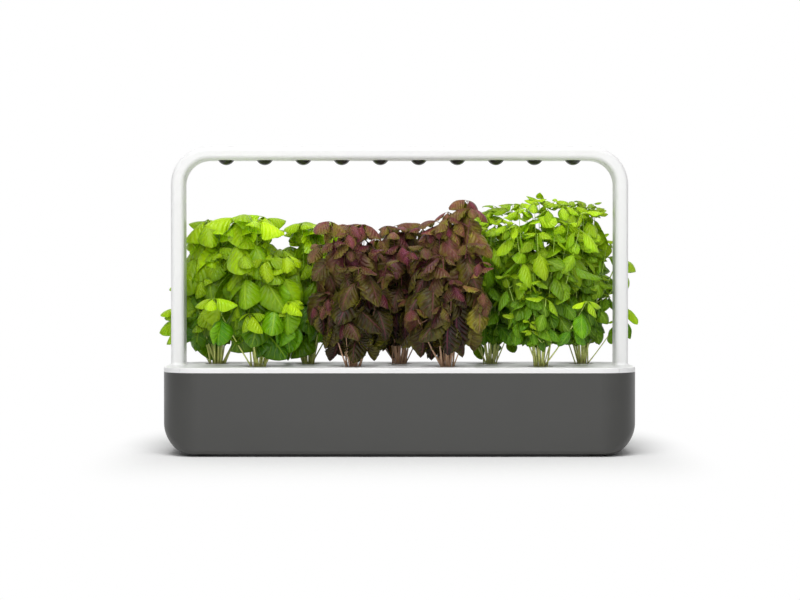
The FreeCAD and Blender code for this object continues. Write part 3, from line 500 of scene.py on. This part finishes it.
# what the stems of all kinds share
stemSkin = {
    "riseBand": (0.115, 0.23),                        # m, heights between which low turns to high
    "stretch": (1.0, 1.0, 0.08), "streaks": 900.0,
    "streakBand": (0.4, 0.7), "streakShare": 0.25, "streakColour": (0.06, 0.05, 0.02),
    "strength": 0.4, "depth": 0.0003,
    "glow": 0.15, "glowColour": (0.6, 0.9, 0.3), "glowScale": 0.002,
}


def makeStemMaterial(name, look):
    # pale and a little woody at the soil, greener above, with lengthwise streaks; the pale low part is also
    # painted light, lifting the stem bases out of the shade of the leaves above them
    material, tree, shader = startMaterial(name)
    place = objectPlace(tree)
    split = addNode(tree, "ShaderNodeSeparateXYZ")
    feed(tree, place, split.inputs[0])
    rise = mapped(tree, split.outputs["Z"], *stemSkin["riseBand"], 0.0, 1.0, True)
    stretch = addNode(tree, "ShaderNodeMapping")
    stretch.inputs["Scale"].default_value = stemSkin["stretch"]
    feed(tree, place, stretch.inputs["Vector"])
    streaks = noise(tree, stretch.outputs["Vector"], stemSkin["streaks"])
    # partly painted light: the low colour is paler than the stem's own to offset the shade of the leaves
    colour = mixed(tree, rise, look["low"], look["high"])
    share = mapped(tree, streaks, *stemSkin["streakBand"], 0.0, stemSkin["streakShare"])
    feed(tree, mixed(tree, share, colour, stemSkin["streakColour"]), shader.inputs["Base Color"])
    glowing(shader, stemSkin)
    bumped(tree, shader, streaks, stemSkin["strength"], stemSkin["depth"])
    return material


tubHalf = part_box("tub")[1]


def makeFloorMaterial():
    # pale floor that takes the shadow, and turns to plain white away from the object
    material, tree, shader = startMaterial("studioFloor", roughness=studio["floorRoughness"])
    shader.inputs["Base Color"].default_value = (*studio["floorColour"], 1.0)
    shader.inputs["Specular IOR Level"].default_value = studio["floorSpecular"]
    split = addNode(tree, "ShaderNodeSeparateXYZ")
    feed(tree, objectPlace(tree), split.inputs[0])
    squares = []
    for axis, edge, width in (("X", tubHalf.x - studio["shadowInset"] * mm, studio["shadowSide"] * mm),
                              ("Y", tubHalf.y, studio["shadowFront"] * mm)):
        outside = calc(tree, "SUBTRACT", calc(tree, "ABSOLUTE", split.outputs[axis]), edge)
        share = calc(tree, "DIVIDE", calc(tree, "MAXIMUM", outside, 0.0), width)
        squares.append(calc(tree, "POWER", share, 2.0))
    far = calc(tree, "SQRT", calc(tree, "ADD", *squares))
    mask = mapped(tree, far, 0.0, 1.0, 0.0, 1.0, True)
    path = addNode(tree, "ShaderNodeLightPath")
    seen = calc(tree, "MAXIMUM", path.outputs["Is Camera Ray"], path.outputs["Is Glossy Ray"])
    blend = addNode(tree, "ShaderNodeMixShader")
    feed(tree, calc(tree, "MULTIPLY", mask, seen), blend.inputs["Fac"])
    feed(tree, shader.outputs[0], blend.inputs[1])
    feed(tree, addNode(tree, "ShaderNodeEmission").outputs[0], blend.inputs[2])
    feed(tree, blend.outputs[0], tree.nodes["Material Output"].inputs["Surface"])
    return material


def makeFloor():
    bm = bmesh.new()
    bmesh.ops.create_grid(bm, x_segments=1, y_segments=1, size=studio["floorHalf"] * mm)
    floor = finished("studioFloor", bm, [makeFloorMaterial()])


# mesh helpers


def meshOf(bm, name):
    mesh = bpy.data.meshes.new(name)
    bm.to_mesh(mesh)
    bm.free()
    return mesh


def finished(name, bm, materials, smooth=False):
    for face in bm.faces:
        face.smooth = smooth
    mesh = meshOf(bm, name)
    obj = bpy.data.objects.new(name, mesh)
    for material in materials:
        mesh.materials.append(material)
    scene.collection.objects.link(obj)
    return obj


def dressNodes(materials):
    # every CAD node takes the material of its slot
    for part in frame["record"]["subparts"]:
        obj = nodes[part["node"]]
        obj.data.materials.clear()
        obj.data.materials.append(materials[part["material_slot"]])
        for polygon in obj.data.polygons:
            polygon.use_smooth = True


# leaves and stems

# A leaf is one unit long. Width, stalk, saw, pucker and ripple are shares of that; blunt and taper are the
# powers of its outline towards the stalk and the tip; curl, fold, bend and twist are drawn for each variant.
leafShapes = {
    "sweet": {
        "width": 0.70, "blunt": 0.46, "taper": 0.62, "stalk": 0.16, "stalkWidth": 0.026, "saw": 0.0,
        "curl": (0.45, 0.95), "fold": (0.00, 0.12), "bend": (0.5, 1.3), "twist": (-0.30, 0.30),
        "pucker": 0.014, "ripple": 0.024,
    },
    "purple": {
        "width": 0.60, "blunt": 0.56, "taper": 0.78, "stalk": 0.17, "stalkWidth": 0.024, "saw": 0.055,
        "curl": (0.15, 0.60), "fold": (0.08, 0.32), "bend": (0.5, 1.5), "twist": (-0.45, 0.45),
        "pucker": 0.016, "ripple": 0.050,
    },
    "lemon": {
        "width": 0.54, "blunt": 0.60, "taper": 0.72, "stalk": 0.18, "stalkWidth": 0.024, "saw": 0.008,
        "curl": (0.10, 0.50), "fold": (0.06, 0.26), "bend": (0.2, 1.0), "twist": (-0.40, 0.40),
        "pucker": 0.008, "ripple": 0.028,
    },
}

# what the leaves of all kinds share, in the same unit; phases is the range of the ripple's start, in radians
leafMake = {
    "across": 6, "along": 14, "variants": 8, "seed": 7,
    "thickness": 0.007, "leastHalf": 0.004, "stalkFlare": 0.2, "edgeRoll": 0.05, "sideBend": 0.18,
    "ribs": 7.0, "ribSweep": 1.7, "ripples": 9.0, "rippleShift": 1.5, "phases": 6.28,
}


def blendStep(value, low, high):
    t = min(max((value - low) / (high - low), 0.0), 1.0)
    return t * t * (3.0 - 2.0 * t)


def leafOutline(shape, blade):
    # half width over the blade, 1 at its widest: blunt towards the stalk, drawn out towards the tip
    if not 0.0 < blade < 1.0:
        return 0.0
    widest = shape["blunt"] / (shape["blunt"] + shape["taper"])
    peak = widest ** shape["blunt"] * (1.0 - widest) ** shape["taper"]
    return blade ** shape["blunt"] * (1.0 - blade) ** shape["taper"] / peak


def leafTemplate(shape, rng):
    # stalk at the origin, tip towards +Y, upper face towards +Z
    bm = bmesh.new()
    bm.loops.layers.uv.new("UVMap")
    bmesh.ops.create_grid(bm, x_segments=leafMake["across"], y_segments=leafMake["along"], size=0.5,
                          calc_uvs=True)
    curl = rng.uniform(*shape["curl"])
    fold = rng.uniform(*shape["fold"])
    bend = rng.uniform(*shape["bend"])
    twist = rng.uniform(*shape["twist"])
    sideBend = rng.uniform(-leafMake["sideBend"], leafMake["sideBend"])
    phase = rng.uniform(0.0, leafMake["phases"])
    for vert in bm.verts:
        u = 2.0 * vert.co.x
        v = vert.co.y + 0.5
        blade = max(v - shape["stalk"], 0.0) / (1.0 - shape["stalk"])
        outline = leafOutline(shape, blade)
        row = round(v * leafMake["along"])
        tooth = 1.0 + shape["saw"] * (1.0 if row % 2 else -1.0) * abs(u) ** 3
        half = 0.5 * shape["width"] * outline * tooth
        flare = blendStep(v, shape["stalk"], shape["stalk"] + leafMake["stalkFlare"])
        half = max(half, shape["stalkWidth"] * (1.0 - flare), leafMake["leastHalf"])
        x = u * half
        z = -fold * abs(x) - curl * x * x / (0.5 * shape["width"]) - leafMake["edgeRoll"] * outline * u ** 6
        ribs = math.cos(2.0 * math.pi * (leafMake["ribs"] * v - leafMake["ribSweep"] * abs(u)))
        z += shape["pucker"] * ribs * abs(u) * (1.0 - u * u) * outline
        start = phase + (leafMake["rippleShift"] if u > 0 else 0.0)
        z += shape["ripple"] * math.sin(leafMake["ripples"] * v + start) * u * u * outline
        turn = twist * v
        x, z = x * math.cos(turn) - z * math.sin(turn), x * math.sin(turn) + z * math.cos(turn)
        angle = bend * v
        along = math.sin(angle) / bend
        drop = (1.0 - math.cos(angle)) / bend
        vert.co = (x + sideBend * v * v, along + z * math.sin(angle), z * math.cos(angle) - drop)
    bmesh.ops.solidify(bm, geom=bm.faces[:], thickness=leafMake["thickness"])
    bmesh.ops.recalc_face_normals(bm, faces=bm.faces[:])
    return meshOf(bm, "leafTemplate")


def curvePoint(points, t):
    # a smooth run through base, shoulder and top
    base, shoulder, top = points
    return base * (1 - t) ** 2 + shoulder * (2 * t * (1 - t)) + top * t * t


def addTube(bm, points, radii):
    # a tapering stalk: one ring is extruded from point to point
    direction = (points[1] - points[0]).normalized()
    start = Matrix.Translation(points[0]) @ direction.to_track_quat("Z", "Y").to_matrix().to_4x4()
    sides = growth["stemSides"]
    made = bmesh.ops.create_circle(bm, cap_ends=True, segments=sides, radius=radii[0], matrix=start)
    face = made["verts"][0].link_faces[0]
    face.normal_flip()
    edges = list(face.edges)
    for index in range(1, len(points)):
        out = bmesh.ops.extrude_edge_only(bm, edges=edges)
        ring = [g for g in out["geom"] if isinstance(g, bmesh.types.BMVert)]
        edges = [g for g in out["geom"] if isinstance(g, bmesh.types.BMEdge)]
        following = (points[min(index + 1, len(points) - 1)] - points[index - 1]).normalized()
        turn = direction.rotation_difference(following).to_matrix()
        scale = radii[index] / radii[index - 1]
        for vert in ring:
            vert.co = points[index] + turn @ (vert.co - points[index - 1]) * scale
        direction = following
    bmesh.ops.contextual_create(bm, geom=edges)


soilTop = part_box("soil_plug_1")[1].z
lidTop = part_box("lid")[1].z
canopyTop = 340.0 * mm

kinds = {number: ("sweet", "purple", "lemon")[(number - 1) // 3] for number in range(1, 10)}

# height of the leafy top over each place along the garden, seen from the front: across, height in mm
skyline = [
    (-325, 235), (-300, 262), (-282, 286), (-270, 299), (-244, 306), (-222, 300), (-190, 311), (-146, 296),
    (-130, 304), (-100, 307), (-73, 293), (-44, 296), (-30, 306), (-7, 298), (32, 300), (52, 298), (66, 312),
    (80, 329), (105, 324), (138, 333), (170, 324), (207, 336), (236, 329), (262, 322), (282, 318), (300, 285),
    (325, 268),
]

# Leaf, spacing of the leaf pairs, stem radius and skirt, the bare height over the lid, are in mm, pitches in
# degrees. Shoots and strays are chances. A tier of stems is how many there are, the least and greatest share of
# the skyline's height that they reach, and the least and greatest share of their cell that they lean out over.
habits = {
    "sweet": {
        "leaf": 62.0, "spacing": 33.0, "stem": 1.4, "tuft": 4,
        "pitchLow": -58.0, "pitchHigh": -36.0, "pitchSpread": 18.0, "tuftPitch": (-50.0, 20.0),
        "shoots": 0.25, "youthFrom": 0.10, "skirt": 24.0, "strays": 0.10,
        "tiers": [(6, 0.93, 1.0, 0.10, 0.70), (6, 0.66, 0.86, 0.45, 0.95), (6, 0.34, 0.58, 0.55, 1.0)],
    },
    "purple": {
        "leaf": 54.0, "spacing": 28.0, "stem": 1.35, "tuft": 4,
        "pitchLow": -62.0, "pitchHigh": -34.0, "pitchSpread": 24.0, "tuftPitch": (-45.0, 30.0),
        "shoots": 0.35, "youthFrom": 0.30, "skirt": 22.0, "strays": 0.15,
        "tiers": [(7, 0.92, 1.0, 0.10, 0.70), (7, 0.66, 0.86, 0.45, 0.95), (6, 0.32, 0.58, 0.55, 1.0)],
    },
    "lemon": {
        "leaf": 41.0, "spacing": 24.0, "stem": 1.1, "tuft": 4,
        "pitchLow": -50.0, "pitchHigh": -18.0, "pitchSpread": 24.0, "tuftPitch": (-40.0, 40.0),
        "shoots": 0.30, "youthFrom": 0.05, "skirt": 24.0, "strays": 0.08,
        "tiers": [(8, 0.90, 1.0, 0.10, 0.78), (8, 0.62, 0.84, 0.45, 1.0), (7, 0.34, 0.58, 0.55, 1.0)],
    },
}

# how plants of all kinds grow; lengths in mm, angles in radians, the rest are shares
growth = {
    "seed": 100,
    # stems
    "goldenAngle": 2.39996, "plantTurn": 0.7,         # from stem to stem, and from plant to plant
    "cellEdge": 9.0, "leastReach": 4.0, "mostReach": 72.0, "farReach": 90.0,
    "skylineLift": 3.0, "tipRoom": 10.0,
    "root": (2.0, 9.5), "shoulderOut": 0.55, "shoulderStray": 3, "stemSpread": (0.7, 1.1),
    "stemTaper": 0.62, "stemSides": 6, "stemSteps": 8, "stemBare": 0.22,
    # side shoots
    "shootFrom": 0.3, "shootTurn": 0.6, "shootOut": (16.0, 30.0), "shootRise": 0.7, "shootSag": 0.12,
    "shootStem": 0.5, "shootLeaf": 0.68, "shootSteps": 4, "shootBare": 0.35,
    # leaf pairs, each turned a quarter from the one below
    "lastPair": 0.96, "pairStray": 0.03, "crossStray": 0.4, "leafStray": 0.3,
    "sizeSpread": (0.80, 1.10), "lowLeaf": (0.82, 0.18), "lowLeafBand": (0.1, 0.5),
    "lean": 0.6, "leanStray": 0.35, "leanDepth": 5,
    "tuftTurn": 0.4, "tuftSize": (0.36, 0.75), "tuftLean": 0.4,
    # a leaf that doesn't fit is turned and made smaller, up to so many times
    "tries": 10, "tryTurn": 0.7, "tryPitch": (-0.3, 0.2), "tryShrink": 0.95, "strayFloor": 1.5,
    # painted light and shade in the tone: leaves that stand far out or high up are painted the brightest, inner
    # and low ones darker
    "youthTo": 1.1, "youthSpread": (0.7, 1.2), "toneStray": 0.2,
    "paintedLightOut": 55.0, "paintedLightBand": (0.22, 0.30), "paintedLightSpread": (0.5, 0.5),
    # room between neighbours, and beside the arms for the outer plants
    "cellGap": 0.5, "tubInset": 2.0, "armGap": 1.5, "armSlant": 0.45,
    # stalks of the single outer leaves
    "outerStem": 1.4, "outerTaper": 0.13, "outerSteps": 6, "outerArch": 30.0, "outerYouth": 0.7,
}

# single leaves that the photograph shows beyond the arms: node of the leaf (across, depth, height in mm),
# then azimuth, pitch and roll in degrees and length in mm
outerLeaves = {
    1: [
        ((-294, 60, 238), 186, -58, -40, 40), ((-297, 56, 170), 180, -16, -60, 32),
        ((-298, 58, 184), 165, -10, -50, 24), ((-296, 54, 158), 190, -50, -45, 26),
    ],
    9: [
        ((296, 56, 253), 2, -22, 50, 34), ((294, 60, 247), -6, -64, 40, 38), ((296, 52, 226), 8, -40, 40, 26),
    ],
}


def skylineAt(x):
    for (x0, z0), (x1, z1) in zip(skyline, skyline[1:]):
        if x <= x1 * mm:
            share = (x / mm - x0) / (x1 - x0)
            return (z0 + (z1 - z0) * share) * mm
    return skyline[-1][1] * mm


def podCentre(number):
    low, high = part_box(f"cup_{number}")
    return (low + high) / 2


def cellLimits(number):
    # planes (a, b, c) with a*x + b*y <= c: a plant keeps to its own part of the plan, clear of its
    # neighbours and of the arms, so that its pod can be lifted out
    here = podCentre(number)
    depth = tubHalf.y - growth["tubInset"] * mm
    limits = [(0.0, 1.0, depth), (0.0, -1.0, depth)]
    for other in range(max(number - 2, 1), min(number + 2, 9) + 1):
        if other == number:
            continue
        there = podCentre(other)
        a = there.x - here.x
        b = there.y - here.y
        span = math.hypot(a, b)
        middle = (here + there) / 2
        limits.append((a / span, b / span, (a * middle.x + b * middle.y) / span - growth["cellGap"] * mm))
    limits.append((1.0, 0.0, cadHigh.x))
    limits.append((-1.0, 0.0, -cadLow.x))
    if number in (1, 9):
        # the outer plants pass behind the arm: this plane slants back from the rear of its inner side
        armLow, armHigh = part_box("arm_right")
        side = 1.0 if number == 9 else -1.0
        slant = growth["armSlant"]
        gap = growth["armGap"] * mm
        span = math.hypot(slant, 1.0)
        near = slant * (armLow.x - gap) - (armHigh.y + gap)
        limits.append((side * slant / span, -1.0 / span, near / span))
    return limits


def fits(points, limits, low):
    for p in points:
        if p.z > canopyTop or p.z < low:
            return False
        for a, b, c in limits:
            if a * p.x + b * p.y > c:
                return False
    return True


def reachAlong(limits, centre, angle):
    # how far a plant can lean in one direction
    dx = math.cos(angle)
    dy = math.sin(angle)
    reach = growth["farReach"] * mm
    for a, b, c in limits:
        step = a * dx + b * dy
        if step > 0.0001:
            reach = min(reach, (c - a * centre.x - b * centre.y) / step)
    return reach


def growPlant(number, templates, materials):
    kind = kinds[number]
    habit = habits[kind]
    rng = random.Random(growth["seed"] + number)
    limits = cellLimits(number)
    centre = podCentre(number)
    stalks = bmesh.new()
    leaves = []
    variants = templates[kind]
    outlines = [[v.co.copy() for v in mesh.vertices][::3] for mesh in variants]
    leftOut = 0

    def addLeaf(place, azimuth, pitch, size, youth, roll):
        nonlocal leftOut
        low = lidTop + (growth["strayFloor"] if rng.random() < habit["strays"] else habit["skirt"]) * mm
        for _ in range(growth["tries"]):
            index = rng.randrange(len(variants))
            turn = Matrix.Rotation(azimuth - math.pi / 2, 4, "Z") @ Matrix.Rotation(pitch, 4, "X")
            turn = turn @ Matrix.Rotation(roll, 4, "Y")
            matrix = Matrix.Translation(place) @ turn @ Matrix.Scale(size, 4)
            if fits([matrix @ p for p in outlines[index]], limits, low):
                break
            azimuth += rng.uniform(-growth["tryTurn"], growth["tryTurn"])
            pitch += rng.uniform(*growth["tryPitch"])
            size *= growth["tryShrink"]
        else:
            leftOut += 1
            return
        shaped = bmesh.new()
        shaped.from_mesh(variants[index])
        shaped.transform(matrix)
        tone = shaped.verts.layers.float_color.new("leafTone")
        # painted light and shade: a leaf far from the plant's middle or high up gets a bright tone, one deep
        # inside or low a dark one
        outward = min(math.hypot(place.x - centre.x, place.y - centre.y) / (growth["paintedLightOut"] * mm), 1.0)
        least, spread = growth["paintedLightSpread"]
        paintedLight = (least + spread * rng.random()) * max(outward, blendStep(place.z, *growth["paintedLightBand"]))
        age = min(max(youth + rng.uniform(-growth["toneStray"], growth["toneStray"]), 0.0), 1.0)
        shade = (age, rng.random(), paintedLight, 1.0)
        for vert in shaped.verts:
            vert[tone] = shade
        leaves.append(meshOf(shaped, "leaf"))

    def growStem(run, thick, leafSize, firstShare, steps, shoots):
        length = (run[2] - run[0]).length
        points = [curvePoint(run, k / steps) for k in range(steps + 1)]
        addTube(stalks, points, [thick * (1.0 - growth["stemTaper"] * k / steps) for k in range(steps + 1)])
        pairs = max(int(length * (1.0 - firstShare) / (habit["spacing"] * mm)), 1)
        turn = rng.uniform(0.0, math.pi)
        for pair in range(pairs):
            share = firstShare + (growth["lastPair"] - firstShare) * (pair + 0.5) / pairs
            share += rng.uniform(-growth["pairStray"], growth["pairStray"])
            node = curvePoint(run, share)
            height = (node.z - soilTop) / (skylineAt(node.x) - soilTop)
            turn += math.pi / 2 + rng.uniform(-growth["crossStray"], growth["crossStray"])
            least, more = growth["lowLeaf"]
            size = leafSize * rng.uniform(*growth["sizeSpread"])
            size *= least + more * blendStep(height, *growth["lowLeafBand"])
            for half in (0.0, math.pi):
                pitch = habit["pitchLow"] + (habit["pitchHigh"] - habit["pitchLow"]) * height
                pitch = math.radians(pitch + rng.uniform(-habit["pitchSpread"], habit["pitchSpread"]))
                youth = blendStep(height, habit["youthFrom"], growth["youthTo"])
                youth *= rng.uniform(*growth["youthSpread"])
                azimuth = turn + half + rng.uniform(-growth["leafStray"], growth["leafStray"])
                facing = 1.0 if node.y < centre.y + growth["leanDepth"] * mm else -1.0
                lean = growth["lean"] * math.cos(azimuth) * facing
                lean += rng.uniform(-growth["leanStray"], growth["leanStray"])
                addLeaf(node, azimuth, pitch, size, youth, lean)
            if shoots and share > growth["shootFrom"] and rng.random() < habit["shoots"]:
                growShoot(node, turn, thick, leafSize)
        for tip in range(habit["tuft"]):
            azimuth = turn + tip * math.pi / 2 + growth["tuftTurn"]
            pitch = math.radians(rng.uniform(*habit["tuftPitch"]))
            size = leafSize * rng.uniform(*growth["tuftSize"])
            addLeaf(points[-1], azimuth, pitch, size, 1.0, growth["tuftLean"] * math.cos(azimuth))

    def growShoot(node, turn, thick, leafSize):
        side = turn + rng.uniform(-growth["shootTurn"], growth["shootTurn"])
        out = rng.uniform(*growth["shootOut"]) * mm
        tip = node + Vector((out * math.cos(side), out * math.sin(side), out * growth["shootRise"]))
        tip.z = min(tip.z, canopyTop - growth["tipRoom"] * mm)
        if fits([tip], limits, lidTop):
            bend = node.lerp(tip, 0.5) + Vector((0.0, 0.0, -growth["shootSag"] * out))
            growStem([node, bend, tip], thick * growth["shootStem"], leafSize * growth["shootLeaf"],
                     growth["shootBare"], growth["shootSteps"], False)

    stemNumber = 0
    for count, lowShare, highShare, nearReach, farReach in habit["tiers"]:
        for _ in range(count):
            stemNumber += 1
            angle = growth["goldenAngle"] * stemNumber + growth["plantTurn"] * number
            reach = reachAlong(limits, centre, angle) - growth["cellEdge"] * mm
            reach = max(reach, growth["leastReach"] * mm) * rng.uniform(nearReach, farReach)
            reach = min(reach, growth["mostReach"] * mm)
            x = centre.x + reach * math.cos(angle)
            y = centre.y + reach * math.sin(angle)
            share = rng.uniform(lowShare, highShare)
            z = soilTop + (skylineAt(x) + growth["skylineLift"] * mm - soilTop) * share
            top = Vector((x, y, min(z, canopyTop - growth["tipRoom"] * mm)))
            root = rng.uniform(*growth["root"]) * mm
            base = Vector((centre.x + root * math.cos(angle), centre.y + root * math.sin(angle), soilTop))
            shoulder = base.lerp(top, 0.5)
            stray = growth["shoulderStray"]
            shoulder.x = base.x + growth["shoulderOut"] * (top.x - base.x) + rng.uniform(-stray, stray) * mm
            shoulder.y = base.y + growth["shoulderOut"] * (top.y - base.y) + rng.uniform(-stray, stray) * mm
            thick = habit["stem"] * rng.uniform(*growth["stemSpread"]) * mm
            growStem([base, shoulder, top], thick, habit["leaf"] * mm, growth["stemBare"],
                     growth["stemSteps"], True)
    steps = growth["outerSteps"]
    for place, azimuth, pitch, roll, size in outerLeaves.get(number, []):
        node = Vector(place) * mm
        base = Vector((centre.x, centre.y, soilTop))
        shoulder = base.lerp(node, 0.5) + Vector((0.0, 0.0, growth["outerArch"] * mm))
        points = [curvePoint([base, shoulder, node], k / steps) for k in range(steps + 1)]
        radii = [(growth["outerStem"] - growth["outerTaper"] * k) * mm for k in range(steps + 1)]
        addTube(stalks, points, radii)
        addLeaf(node, math.radians(azimuth), math.radians(pitch), size * mm, growth["outerYouth"],
                math.radians(roll))
    bm = bmesh.new()
    bm.loops.layers.uv.new("UVMap")
    bm.verts.layers.float_color.new("leafTone")
    for face in stalks.faces:
        face.material_index = 1
    for mesh in [meshOf(stalks, "stalks"), *leaves]:
        bm.from_mesh(mesh)
        bpy.data.meshes.remove(mesh)
    print(f"{kind}Basil{number}:", len(leaves), "leaves,", leftOut, "left out,", len(bm.faces), "faces")
    dress = [materials["leaf_" + kind], materials["stem_" + kind]]
    plant = finished(f"{kind}Basil{number}", bm, dress, smooth=True)
    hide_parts(f"plant_{number}")
    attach(plant, f"pod_{number}")


def growPlants(materials):
    rng = random.Random(leafMake["seed"])
    templates = {
        kind: [leafTemplate(shape, rng) for _ in range(leafMake["variants"])]
        for kind, shape in leafShapes.items()
    }
    for number in kinds:
        growPlant(number, templates, materials)
    for meshes in templates.values():
        for mesh in meshes:
            bpy.data.meshes.remove(mesh)


def makeMaterials():
    materials = {name: mouldedPlastic(name, **look) for name, look in finishes.items()}
    materials["screw_steel"] = makeScrewSteel()
    materials["lens_smoke"] = makeLensSmoke()
    materials["soil"] = makeSoil()
    for name, look in leafFinishes.items():
        materials[name] = makeLeafMaterial(name, look)
    for name, look in stemFinishes.items():
        materials[name] = makeStemMaterial(name, look)
    return materials


makeCamera()
makeSky()
for name, box in studio["softboxes"].items():
    makeSoftbox(name, **box)
makeFloor()
print("studio ready")

materials = makeMaterials()
dressNodes(materials)
print("plastics and metals dressed")

growPlants(materials)
print("plants grown")
